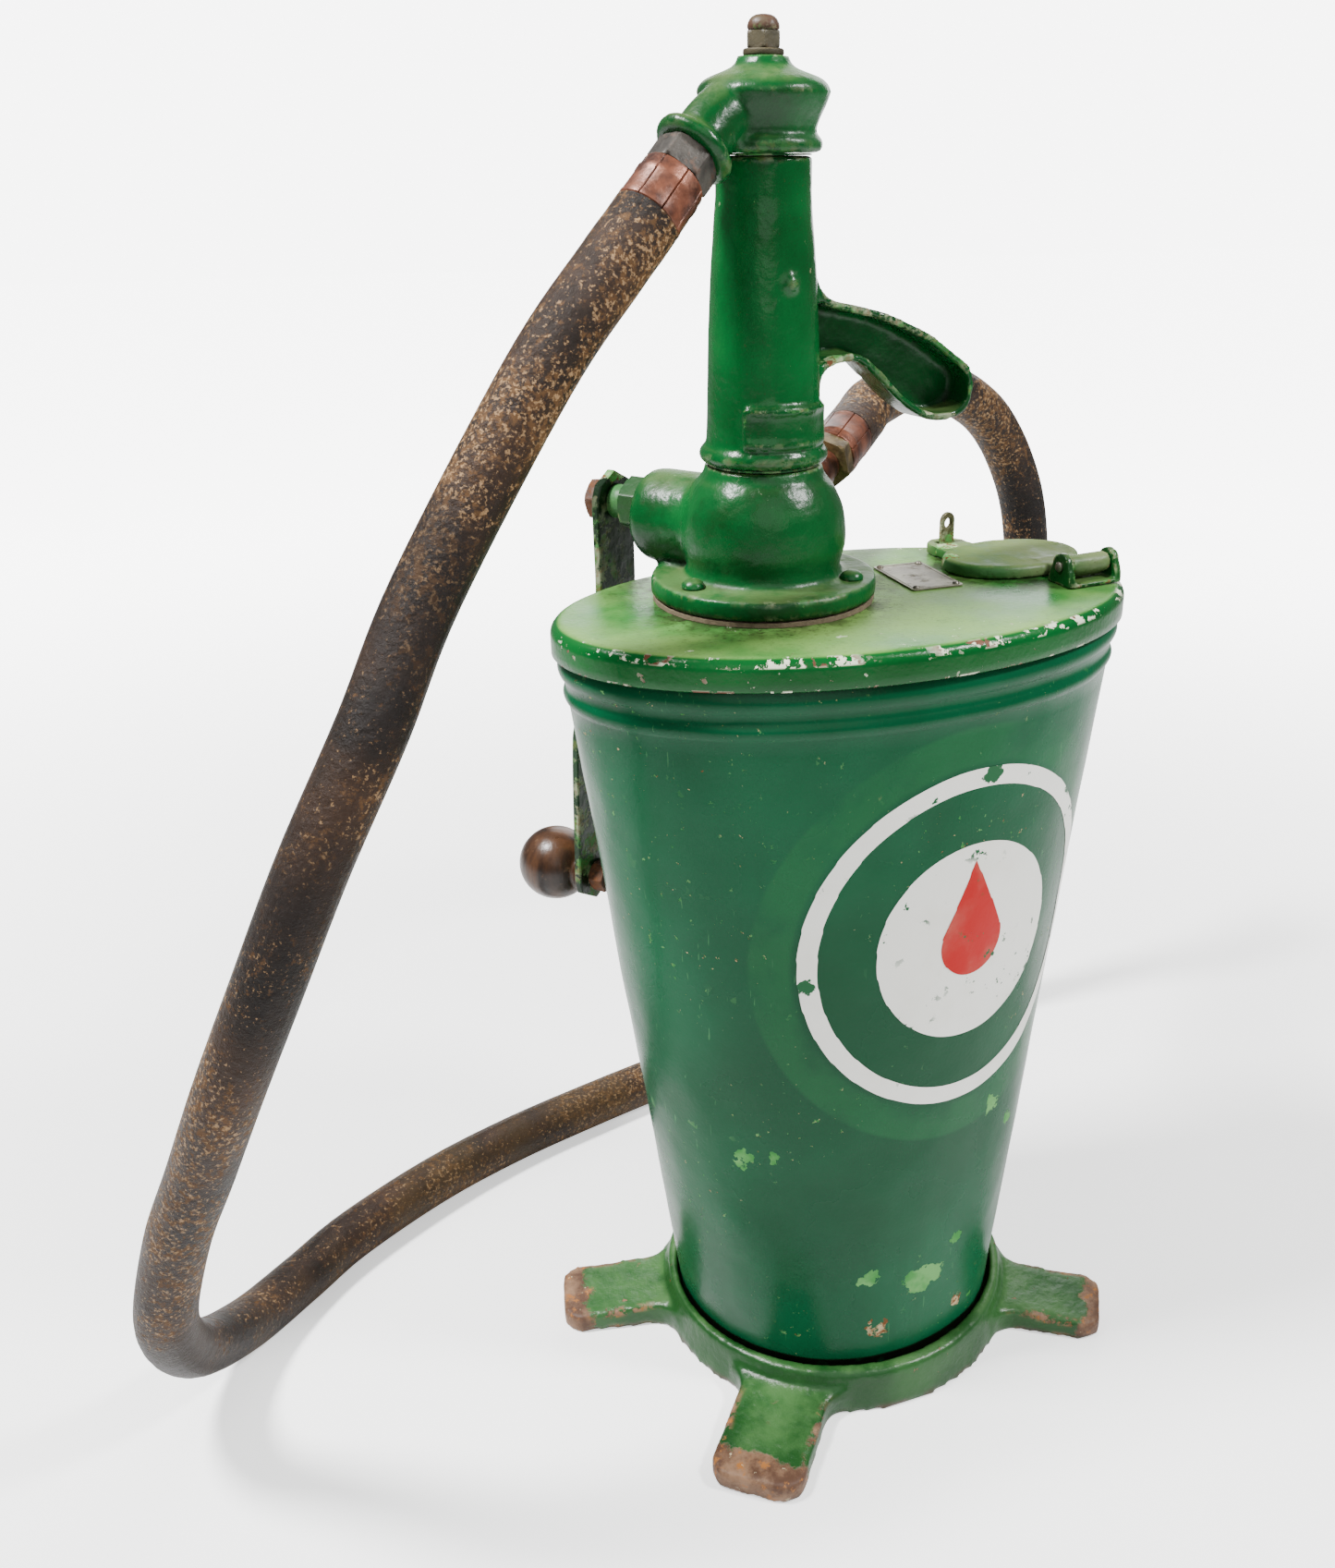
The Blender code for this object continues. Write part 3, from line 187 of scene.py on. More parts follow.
# ---------------------------------------------------------------- materials
class Paint:
    """A small builder for a procedural material in real-scale object coordinates."""

    def __init__(self, name, roughness, metallic=0.0):
        self.material = bpy.data.materials.new(name)
        self.material.use_nodes = True
        self.tree = self.material.node_tree
        self.shader = self.tree.nodes["Principled BSDF"]
        self.shader.inputs["Roughness"].default_value = roughness
        self.shader.inputs["Metallic"].default_value = metallic
        self.where = self.tree.nodes.new("ShaderNodeTexCoord").outputs["Object"]

    def link(self, value, socket):
        if isinstance(value, bpy.types.NodeSocket):
            self.tree.links.new(value, socket)
        elif isinstance(value, (tuple, list)):
            socket.default_value = tuple(value) + (1.0,) * (len(socket.default_value) - len(value))
        else:
            socket.default_value = value

    def noise(self, scale, detail=3.0, rough=0.55, stretch=None, warp=0.0):
        node = self.tree.nodes.new("ShaderNodeTexNoise")
        node.inputs["Scale"].default_value = scale
        node.inputs["Detail"].default_value = detail
        node.inputs["Roughness"].default_value = rough
        node.inputs["Distortion"].default_value = warp
        self.tree.links.new(self.mapped(stretch), node.inputs["Vector"])
        return node.outputs["Fac"]

    def cells(self, scale, feature="F1", stretch=None):
        node = self.tree.nodes.new("ShaderNodeTexVoronoi")
        node.feature = feature
        node.inputs["Scale"].default_value = scale
        self.tree.links.new(self.mapped(stretch), node.inputs["Vector"])
        return node.outputs["Distance"]

    def mapped(self, stretch):
        if stretch is None:
            return self.where
        node = self.tree.nodes.new("ShaderNodeMapping")
        node.inputs["Scale"].default_value = stretch
        self.tree.links.new(self.where, node.inputs["Vector"])
        return node.outputs["Vector"]

    def step(self, value, low, high):
        node = self.tree.nodes.new("ShaderNodeMapRange")
        node.interpolation_type = "SMOOTHSTEP"
        node.inputs["From Min"].default_value = low
        node.inputs["From Max"].default_value = high
        self.link(value, node.inputs["Value"])
        return node.outputs["Result"]

    def math(self, kind, a, b=0.0):
        node = self.tree.nodes.new("ShaderNodeMath")
        node.operation = kind
        self.link(a, node.inputs[0])
        self.link(b, node.inputs[1])
        return node.outputs[0]

    def times(self, *values):
        result = values[0]
        for value in values[1:]:
            result = self.math("MULTIPLY", result, value)
        return result

    def most(self, *values):
        result = values[0]
        for value in values[1:]:
            result = self.math("MAXIMUM", result, value)
        return result

    def mix(self, factor, a, b):
        node = self.tree.nodes.new("ShaderNodeMix")
        node.data_type = "RGBA"
        self.link(factor, node.inputs["Factor"])
        self.link(a, node.inputs[6])
        self.link(b, node.inputs[7])
        return node.outputs[2]

    def axis(self, which):
        node = self.tree.nodes.new("ShaderNodeSeparateXYZ")
        self.tree.links.new(self.where, node.inputs[0])
        return node.outputs[which]

    def facing_up(self):
        geometry = self.tree.nodes.new("ShaderNodeNewGeometry")
        split = self.tree.nodes.new("ShaderNodeSeparateXYZ")
        self.tree.links.new(geometry.outputs["Normal"], split.inputs[0])
        return split.outputs["Z"]

    def sharpness(self, low=0.515, high=0.56):
        geometry = self.tree.nodes.new("ShaderNodeNewGeometry")
        return self.step(geometry.outputs["Pointiness"], low, high)

    def hollows(self, low=0.49, high=0.44):
        geometry = self.tree.nodes.new("ShaderNodeNewGeometry")
        return self.step(geometry.outputs["Pointiness"], low, high)

    def away(self, point):
        """Distance from point."""
        node = self.tree.nodes.new("ShaderNodeVectorMath")
        node.operation = "DISTANCE"
        self.tree.links.new(self.where, node.inputs[0])
        node.inputs[1].default_value = point
        return node.outputs["Value"]

    def near(self, point, radius, ragged=1.3, blur=0.5):
        """1 round point, falling to 0 along a ragged outline about radius from it."""
        wander = self.times(self.math("SUBTRACT", self.noise(0.9 / radius, 5.0, 0.6), 0.5), 2 * ragged * radius)
        return self.step(self.math("ADD", self.away(point), wander), radius, radius * (1 - blur))

    def colour(self, value):
        self.link(value, self.shader.inputs["Base Color"])

    def rough(self, value):
        self.link(value, self.shader.inputs["Roughness"])

    def metal(self, value):
        self.link(value, self.shader.inputs["Metallic"])

    def bump(self, *layers):
        last = None
        for height, depth in layers:
            node = self.tree.nodes.new("ShaderNodeBump")
            node.inputs["Distance"].default_value = depth
            self.link(height, node.inputs["Height"])
            if last is not None:
                self.tree.links.new(last, node.inputs["Normal"])
            last = node.outputs["Normal"]
        self.tree.links.new(last, self.shader.inputs["Normal"])

    def done(self):
        return self.material


CREAM = (0.36, 0.40, 0.24)
LEAF = (0.07, 0.28, 0.06)
RUST_DARK = (0.040, 0.013, 0.006)
RUST_LIGHT = (0.20, 0.075, 0.025)
DUST = (0.17, 0.22, 0.07)


def enamel(name, deep, bright, rough=0.20, dust=0.0, wear=0.5, soot=0.4, chips=0.5, spots=()):
    """Brushed green enamel on a casting or sheet, chipped to cream primer and rust."""
    p = Paint(name, rough)
    tone = p.mix(p.step(p.noise(9.0, 4.0), 0.35, 0.68), deep, bright)
    grime = p.times(p.step(p.noise(26.0, 6.0, 0.65), 0.50, 0.70), soot)
    tone = p.mix(grime, tone, (0.004, 0.020, 0.004))
    # painted shade: hollows and creases darkened towards black
    crease_shade = p.times(p.hollows(), p.step(p.noise(70.0, 4.0), 0.30, 0.60))
    tone = p.mix(p.times(crease_shade, 0.9), tone, (0.004, 0.007, 0.003))
    settled = p.times(p.step(p.facing_up(), 0.55, 0.98), dust, p.step(p.noise(38.0, 6.0, 0.7), 0.30, 0.62))
    tone = p.mix(settled, tone, DUST)
    specks = p.times(p.step(p.noise(520.0, 2.0), 0.66, 0.70), dust, p.step(p.noise(20.0, 3.0), 0.42, 0.60))
    tone = p.mix(specks, tone, (0.035, 0.025, 0.012))

    patch = p.step(p.noise(16.0, 3.0), 0.50, 0.66)
    flakes = p.times(p.step(p.noise(150.0, 5.0, 0.6), 0.665, 0.69), patch, chips)
    worn = p.times(p.sharpness(), p.step(p.noise(95.0, 5.0, 0.7), 0.47, 0.56), p.step(p.noise(13.0, 3.0), 0.40, 0.58))
    worn = p.times(worn, wear)
    bare = p.math("MINIMUM", p.most(flakes, worn), 1.0)
    for point, radius in spots:
        bare = p.most(bare, p.near(point, radius, blur=0.1))
    primer = p.mix(p.step(p.noise(60.0, 4.0), 0.42, 0.58), CREAM, LEAF)
    tone = p.mix(bare, tone, primer)
    rusty = p.times(bare, p.step(p.noise(210.0, 4.0, 0.7), 0.49, 0.58))
    tone = p.mix(rusty, tone, p.mix(p.noise(300.0), RUST_DARK, RUST_LIGHT))
    p.colour(tone)
    matt = p.most(p.times(settled, 0.75), p.times(bare, 0.6), p.times(crease_shade, 0.7))
    p.rough(p.math("ADD", p.math("ADD", matt, p.times(p.noise(45.0, 4.0), 0.14)), rough - 0.05))
    p.shader.inputs["Specular IOR Level"].default_value = 0.24
    p.bump(
        (p.noise(34.0, 3.0), 0.0014),
        (p.noise(170.0, 3.0), 0.00045),
        (p.math("SUBTRACT", 1.0, bare), 0.00025),
    )
    return p.done()


def metal(name, dark, light, rough=0.40, rust=0.3, metallic=0.9, grain=None):
    p = Paint(name, rough, metallic)
    tone = p.mix(p.step(p.noise(60.0, 5.0, 0.65, grain), 0.35, 0.65), dark, light)
    rusty = p.times(p.step(p.noise(110.0, 6.0, 0.7), 0.62 - 0.25 * rust, 0.74 - 0.18 * rust), min(1.0, rust * 1.6))
    tone = p.mix(rusty, tone, p.mix(p.noise(240.0, 5.0), RUST_DARK, RUST_LIGHT))
    worn = p.times(p.sharpness(), p.step(p.noise(130.0, 3.0), 0.40, 0.60))
    tone = p.mix(p.times(worn, 0.5), tone, light)
    p.colour(tone)
    p.metal(p.math("SUBTRACT", metallic, p.times(rusty, metallic * 0.8)))
    p.rough(p.math("ADD", p.times(rusty, 0.45), p.math("ADD", p.times(p.noise(90.0, 4.0), 0.2), rough - 0.1)))
    p.bump((p.noise(420.0, 4.0, 0.6, grain), 0.00022), (p.noise(90.0, 4.0), 0.0005))
    return p.done()


def fibre(name):
    p = Paint(name, 0.9)
    p.colour(p.mix(p.noise(300.0, 5.0), (0.05, 0.035, 0.02), (0.20, 0.15, 0.09)))
    p.bump((p.noise(900.0, 3.0), 0.0003))
    return p.done()


def hose_rubber(name):
    """Perished black-brown rubber with a granular tan bloom, browner high up and on the floor."""
    p = Paint(name, 0.62)
    tone = p.mix(p.step(p.noise(14.0, 5.0, 0.6), 0.35, 0.70), (0.006, 0.004, 0.003), (0.035, 0.018, 0.010))
    high = p.step(p.axis("Z"), 0.30, 0.66)
    floor = p.step(p.axis("Z"), 0.06, 0.03)
    reach = p.math("ADD", p.times(p.step(p.noise(11.0, 5.0, 0.6), 0.38, 0.62), 0.12), p.times(high, 0.03))
    grain = p.math("ADD", p.noise(210.0, 6.0, 0.75), reach)
    bloom = p.step(grain, 0.60, 0.70)
    tone = p.mix(p.times(bloom, 0.75), tone, (0.11, 0.055, 0.021))
    crumbs = p.step(p.math("ADD", p.noise(430.0, 4.0, 0.7), p.times(reach, 0.8)), 0.63, 0.71)
    tone = p.mix(p.times(crumbs, 0.85), tone, (0.30, 0.18, 0.085))
    tone = p.mix(p.times(floor, 0.5, p.step(p.noise(16.0, 4.0), 0.35, 0.60)), tone, (0.060, 0.036, 0.014))
    black = p.step(p.noise(6.0, 4.0), 0.54, 0.70)
    tone = p.mix(p.times(black, 0.75), tone, (0.008, 0.005, 0.004))
    p.colour(tone)
    p.rough(p.math("ADD", p.times(bloom, 0.25), 0.45))
    p.shader.inputs["Specular IOR Level"].default_value = 0.16
    p.bump((p.noise(220.0, 5.0, 0.75), 0.0016), (p.noise(45.0, 4.0), 0.0018))
    return p.done()


def knob_wood(name):
    p = Paint(name, 0.32)
    rings = p.noise(46.0, 6.0, 0.6, (1.0, 1.0, 0.16), 0.8)
    tone = p.mix(p.step(rings, 0.34, 0.66), (0.010, 0.005, 0.003), (0.075, 0.032, 0.014))
    tone = p.mix(p.times(p.step(p.noise(95.0, 5.0, 0.7), 0.58, 0.70), 0.6), tone, (0.12, 0.065, 0.035))
    p.colour(tone)
    p.rough(p.math("ADD", p.times(p.noise(70.0, 4.0), 0.25), 0.20))
    p.shader.inputs["Specular IOR Level"].default_value = 0.35
    p.bump((p.noise(180.0, 4.0, 0.6, (1.0, 1.0, 0.2)), 0.00035))
    return p.done()


def sign_paint(name, tone):
    """Printed sign colour with scratches and small losses down to the green."""
    p = Paint(name, 0.30)
    lost = p.times(p.step(p.noise(105.0, 5.0, 0.65), 0.62, 0.63), p.step(p.noise(17.0, 3.0), 0.48, 0.60))
    for point, radius in (((0.0450, -0.0960, 0.4230), 0.0065), ((-0.0630, -0.0910, 0.3070), 0.0050)):
        lost = p.most(lost, p.near(point, radius, blur=0.1))
    aged = p.mix(p.times(p.step(p.noise(30.0, 5.0), 0.45, 0.75), 0.15), tone, (0.45, 0.42, 0.30))
    p.colour(p.mix(lost, aged, (0.004, 0.075, 0.022)))
    p.rough(p.math("ADD", p.times(p.noise(50.0), 0.2), 0.22))
    p.shader.inputs["Specular IOR Level"].default_value = 0.16
    p.bump((p.noise(240.0, 3.0), 0.00015))
    return p.done()


# ---------------------------------------------------------------- mesh building
def mesh_object(name, verts, faces):
    mesh = bpy.data.meshes.new(name)
    mesh.from_pydata([tuple(v) for v in verts], [], faces)
    mesh.update()
    obj = bpy.data.objects.new(name, mesh)
    SCENE.collection.objects.link(obj)
    return obj


def loops_solid(loops, capped=True, ringed=False):
    """Faces between successive closed loops of equal count, capped or joined end to end."""
    count = len(loops[0])
    verts = [v for loop in loops for v in loop]
    faces = []
    pairs = list(range(len(loops) - 1))
    if ringed:
        pairs.append(len(loops) - 1)
    for k in pairs:
        a = k * count
        b = ((k + 1) % len(loops)) * count
        for i in range(count):
            j = (i + 1) % count
            faces.append((a + i, a + j, b + j, b + i))
    if capped and not ringed:
        faces.append(tuple(range(count))[::-1])
        faces.append(tuple(range((len(loops) - 1) * count, len(loops) * count)))
    return verts, faces


def turned(profile, place, steps=96, ringed=False, ripple=None):
    """A profile of (radius, height) turned about place's Z. ripple(angle, radius, height) alters a radius."""
    loops = []
    for r, h in profile:
        loop = []
        for i in range(steps):
            a = 2 * math.pi * i / steps
            radius = max(r, 0.00001)
            if ripple is not None:
                radius = ripple(a, radius, h)
            loop.append(place @ Vector((radius * math.cos(a), radius * math.sin(a), h)))
        loops.append(loop)
    return loops_solid(loops, capped=not ringed, ringed=ringed)


def ovals(sections, place, steps=160, ringed=False):
    loops = []
    for half_x, half_y, z in sections:
        loops.append([
            place @ Vector((half_x * math.cos(2 * math.pi * i / steps), half_y * math.sin(2 * math.pi * i / steps), z))
            for i in range(steps)
        ])
    return loops_solid(loops, capped=not ringed, ringed=ringed)


def extruded(outline, low, high, place):
    loops = [[place @ Vector((x, y, z)) for x, y in outline] for z in (low, high)]
    return loops_solid(loops)


def walled(outer, inner, low, high, place):
    """An open-ended wall between an outer and an inner outline of equal count."""
    loops = [
        [place @ Vector((x, y, low)) for x, y in outer],
        [place @ Vector((x, y, high)) for x, y in outer],
        [place @ Vector((x, y, high)) for x, y in inner],
        [place @ Vector((x, y, low)) for x, y in inner],
    ]
    return loops_solid(loops, ringed=True)


def swept(points, radius, steps=32):
    """A round bar of changing radius along points."""
    loops = []
    side = None
    for k, here in enumerate(points):
        along = (points[min(k + 1, len(points) - 1)] - points[max(k - 1, 0)]).normalized()
        if side is None:
            side = along.cross(Vector((0, 0, 1))).normalized()
        side = (side - along * side.dot(along)).normalized()
        other = along.cross(side)
        r = radius[k] if isinstance(radius, (list, tuple)) else radius
        loops.append([
            here + r * (math.cos(2 * math.pi * i / steps) * side + math.sin(2 * math.pi * i / steps) * other)
            for i in range(steps)
        ])
    return loops_solid(loops)


def arc(centre, radius, start, end, steps):
    points = []
    for i in range(steps + 1):
        a = math.radians(start + (end - start) * i / steps)
        points.append((centre[0] + radius * math.cos(a), centre[1] + radius * math.sin(a)))
    return points


def stadium(half_width, low, high, steps=24):
    return arc((0.0, high), half_width, 0, 180, steps) + arc((0.0, low), half_width, 180, 360, steps)


def rounded_box(half_x, half_y, radius, steps=8):
    points = []
    for start, sx, sy in ((0, 1, 1), (90, -1, 1), (180, -1, -1), (270, 1, -1)):
        centre = (sx * (half_x - radius), sy * (half_y - radius))
        points += arc(centre, radius, start, start + 90, steps)
    return points


def smooth_path(points, per=6, closed=False):
    """A smooth curve through points, per samples a span."""
    route = [Vector(p) for p in points]
    if closed:
        route = [route[-1]] + route + route[:2]
    else:
        route = [2 * route[0] - route[1]] + route + [2 * route[-1] - route[-2]]
    dense = []
    for a, b, c, d in zip(route, route[1:], route[2:], route[3:]):
        for i in range(per):
            t = i / per
            dense.append(
                0.5 * (2 * b + (c - a) * t + (2 * a - 5 * b + 4 * c - d) * t ** 2
                       + (3 * b - a - 3 * c + d) * t ** 3)
            )
    if not closed:
        dense.append(route[-2])
    return dense


def smooth_profile(profile, per=4):
    return [(max(p.x, 0.0), p.y) for p in smooth_path([(r, h, 0.0) for r, h in profile], per)]


def piece(name, shapes, body, stands_for, material, smooth=40.0):
    """One object from several closed shapes, riding on body and standing for CAD nodes."""
    verts = []
    faces = []
    for shape_verts, shape_faces in shapes:
        base = len(verts)
        verts += shape_verts
        faces += [tuple(base + i for i in face) for face in shape_faces]
    obj = mesh_object(name, verts, faces)
    shape = bmesh.new()
    shape.from_mesh(obj.data)
    bmesh.ops.recalc_face_normals(shape, faces=shape.faces)
    shape.to_mesh(obj.data)
    shape.free()
    obj.data.shade_smooth()
    if smooth:
        obj.data.set_sharp_from_angle(angle=math.radians(smooth))
    obj.data.materials.append(material)
    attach(obj, body)
    if stands_for:
        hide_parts(*stands_for)
    return obj


def settle(obj):
    """Apply the object's modifiers to its mesh."""
    graph = bpy.context.evaluated_depsgraph_get()
    mesh = bpy.data.meshes.new_from_object(obj.evaluated_get(graph))
    obj.modifiers.clear()
    old = obj.data
    obj.data = mesh
    bpy.data.meshes.remove(old)


def cut_with(obj, shapes):
    """Cut closed shapes out of obj."""
    for shape in shapes:
        tool = mesh_object(obj.name + "_cutter", *shape)
        mesh = bmesh.new()
        mesh.from_mesh(tool.data)
        bmesh.ops.recalc_face_normals(mesh, faces=mesh.faces)
        mesh.to_mesh(tool.data)
        mesh.free()
        boolean = obj.modifiers.new("cut", "BOOLEAN")
        boolean.operation = "DIFFERENCE"
        boolean.solver = "EXACT"
        boolean.object = tool
        settle(obj)
        bpy.data.objects.remove(tool)


def soften(obj, voxel, rounds, lumps=0.0, lump_size=0.02):
    """Fuse overlapping shapes into one skin with the soft corners of sand-cast iron."""
    remesh = obj.modifiers.new("fuse", "REMESH")
    remesh.mode = "VOXEL"
    remesh.voxel_size = voxel
    smooth = obj.modifiers.new("soften", "SMOOTH")
    smooth.factor = 0.5
    smooth.iterations = rounds
    settle(obj)
    if lumps:
        for vert in obj.data.vertices:
            swell = noise.noise(vert.co / lump_size) * lumps
            vert.co += vert.normal * swell
    obj.data.shade_smooth()


def bevelled(obj, width, segments=3, angle=35):
    bevel = obj.modifiers.new("edge", "BEVEL")
    bevel.width = width
    bevel.segments = segments
    bevel.limit_method = "ANGLE"
    bevel.angle_limit = math.radians(angle)
    settle(obj)
    obj.data.shade_smooth()
    obj.data.set_sharp_from_angle(angle=math.radians(50))


def hexagon(across_flats, turn=0.0):
    return arc((0.0, 0.0), across_flats / math.sqrt(3), turn, turn + 300, 5)


def nut(name, across_flats, low, high, place, bore, body, node, material, turn=0.0):
    """A hexagon nut with its corners turned off and a bore."""
    def crown(a, r, h):
        edge = min(h - low, high - h)
        corner = across_flats / 2 / math.cos((a - math.radians(turn)) % (math.pi / 3) - math.pi / 6)
        limit = across_flats / 2 * 1.045 + edge * 1.6
        return min(corner, limit) if r > bore * 1.01 else r
    h = high - low
    outside = [(1.0, low), (1.0, low + 0.08 * h), (1.0, low + 0.2 * h), (1.0, high - 0.2 * h), (1.0, high - 0.08 * h), (1.0, high)]
    profile = [(bore, low)] + outside + [(bore, high)]
    return piece(name, [turned(profile, place, 120, ringed=True, ripple=crown)], body, [node], material)


# ---------------------------------------------------------------- shared finishes
GREEN_DEEP = (0.0002, 0.036, 0.006)
GREEN_BRIGHT = (0.0020, 0.082, 0.016)
CAST = enamel("green_casting", GREEN_DEEP, GREEN_BRIGHT, 0.27, dust=0.30, wear=0.5, soot=0.55, chips=0.45)
STEEL = metal("dull_steel", (0.08, 0.075, 0.06), (0.26, 0.24, 0.20), 0.42, 0.35)
IRON_RUST = metal("rusty_iron", (0.028, 0.012, 0.006), (0.10, 0.036, 0.013), 0.62, 0.75, 0.25)
BRASS = metal("dull_brass", (0.050, 0.036, 0.016), (0.19, 0.14, 0.060), 0.40, 0.25, 0.6)
COPPER = metal("browned_copper", (0.030, 0.010, 0.006), (0.17, 0.055, 0.028), 0.42, 0.30, 0.45)
FIBRE = fibre("oiled_fibre")
HOSE_RUBBER = hose_rubber("mottled_hose_rubber")


# ---------------------------------------------------------------- hose and its fittings
def build_hose():
    start = ELBOW_END + 0.0443 * ELBOW_DIR
    end = lifted(PUMP, PARK_Z) + 0.1603 * PARK_DIR
    route = [start, start + 0.012 * ELBOW_DIR] + [Vector(p) for p in HOSE_ROUTE] + [end + 0.012 * PARK_DIR, end]
    line = smooth_path(route, 8)

    curve = bpy.data.curves.new("hose_tube", "CURVE")
    curve.dimensions = "3D"
    curve.bevel_depth = HOSE_R
    curve.bevel_resolution = 10
    curve.use_fill_caps = True
    spline = curve.splines.new("POLY")
    spline.points.add(len(line) - 1)
    for point, co in zip(spline.points, line):
        point.co = (*co, 1.0)
    spline.use_smooth = True
    hose = bpy.data.objects.new("hose_tube", curve)
    SCENE.collection.objects.link(hose)
    curve.materials.append(HOSE_RUBBER)
    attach(hose, "stand")
    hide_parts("hose")

    def slits(a, r, h):
        """Eight narrow slits in the crimped collar."""
        part = (a % (math.pi / 4)) - math.pi / 8
        return r - 0.0008 if abs(part) < 0.03 and r > 0.012 else r

    for name, place, low, high, node in (
        ("delivery_collar", ELBOW_FRAME, 0.0183, 0.0440, "delivery_ferrule"),
        ("park_collar", PARK_FRAME, 0.1243, 0.1600, "park_ferrule"),
    ):
        profile = [
            (0.0095, low), (0.0150, low), (0.0162, low + 0.0006), (0.0168, low + 0.0020), (0.0168, low + 0.0060),
            (0.0173, low + 0.0070), (0.0173, low + 0.0095), (0.0170, low + 0.0105), (0.0172, high - 0.0040),
            (0.0175, high - 0.0024), (0.0174, high - 0.0006), (0.0168, high), (0.0095, high),
        ]
        piece(name, [turned(profile, place, 192, ringed=True, ripple=slits)], "stand", [node], COPPER)
    union_green = metal("chipped_union", (0.016, 0.013, 0.010), (0.055, 0.048, 0.040), 0.45, 0.3, 0.25)
    nut("delivery_hexagon", 0.0295, 0.0043, 0.0180, ELBOW_FRAME, 0.0096, "stand", "delivery_union", union_green, 8)
    nut("park_hexagon", 0.0305, 0.1120, 0.1240, PARK_FRAME, 0.0096, "stand", "park_union", BRASS, 20)
    pipe = [(0.0070, 0.0523), (0.0105, 0.0523), (0.0105, 0.090), (0.0112, 0.0925), (0.0112, 0.1000), (0.0105, 0.1020),
            (0.0105, 0.1117), (0.0070, 0.1117)]
    piece("park_pipe", [turned(pipe, PARK_FRAME, 72, ringed=True)], "stand", ["park_nozzle"], COPPER)


# ---------------------------------------------------------------- base, tank, lid
TANK_TOP = (0.170, 0.0992, 0.4852)
TANK_FOOT = (0.1085, 0.1035, 0.028)


def tank_half(z):
    t = (z - TANK_FOOT[2]) / (TANK_TOP[2] - TANK_FOOT[2])
    return tuple(low + (high - low) * t for low, high in zip(TANK_FOOT[:2], TANK_TOP[:2]))


def base_paint():
    """Enamel worn to brown metal and rust over the ends of the feet."""
    p = Paint("green_base_casting", 0.30)
    tone = p.mix(p.step(p.noise(14.0, 4.0), 0.35, 0.68), (0.005, 0.045, 0.007), (0.022, 0.090, 0.020))
    # upward faces painted a paler green in patches: painted light on the tops, with some dust
    top = p.step(p.facing_up(), 0.70, 0.98)
    tone = p.mix(p.times(top, p.step(p.noise(30.0, 6.0, 0.65), 0.35, 0.65), 0.65), tone, (0.070, 0.165, 0.050))
    # painted shade: hollows and creases of the base darkened towards black
    crease_shade = p.times(p.hollows(), p.step(p.noise(70.0, 4.0), 0.30, 0.60))
    tone = p.mix(p.times(crease_shade, 0.9), tone, (0.006, 0.010, 0.004))
    x = p.axis("X")
    y = p.axis("Y")
    reach = p.math("SQRT", p.math("ADD", p.times(x, x), p.times(y, y)))
    wander = p.times(p.math("SUBTRACT", p.noise(62.0, 6.0, 0.65), 0.5), 0.040)
    ends = p.step(p.math("ADD", reach, wander), 0.1725, 0.1765)
    edges = p.times(p.sharpness(0.506, 0.530), p.step(p.noise(80.0, 5.0, 0.7), 0.47, 0.54))
    edges = p.times(edges, p.step(reach, 0.118, 0.150))
    flakes = p.times(p.step(p.noise(140.0, 5.0, 0.6), 0.665, 0.68), p.step(p.noise(16.0, 3.0), 0.50, 0.62))
    bare = p.most(ends, edges, flakes)
    bronze = p.mix(p.step(p.noise(55.0, 5.0, 0.65), 0.35, 0.65), (0.075, 0.034, 0.018), (0.24, 0.135, 0.075))
    bronze = p.mix(p.step(p.noise(120.0, 5.0, 0.7), 0.55, 0.64), bronze, (0.30, 0.110, 0.022))
    bronze = p.mix(p.step(p.noise(150.0, 4.0, 0.7), 0.64, 0.70), bronze, (0.42, 0.35, 0.22))
    tone = p.mix(bare, tone, bronze)
    speck = p.near((-0.104, -0.128, 0.018), 0.0022, 0.6, 0.2)
    tone = p.mix(speck, tone, (0.75, 0.76, 0.70))
    low = p.times(p.step(p.axis("Z"), 0.006, 0.001), p.step(p.noise(50.0, 5.0), 0.40, 0.60))
    tone = p.mix(low, tone, (0.050, 0.034, 0.018))
    p.colour(tone)
    p.rough(p.math("ADD", p.times(bare, 0.22), p.math("ADD", p.times(p.noise(45.0, 4.0), 0.16), 0.26)))
    p.shader.inputs["Specular IOR Level"].default_value = 0.32
    p.bump(
        (p.noise(34.0, 3.0), 0.0014),
        (p.noise(170.0, 4.0), 0.0006),
        (p.math("SUBTRACT", 1.0, bare), 0.0003),
    )
    return p.done()


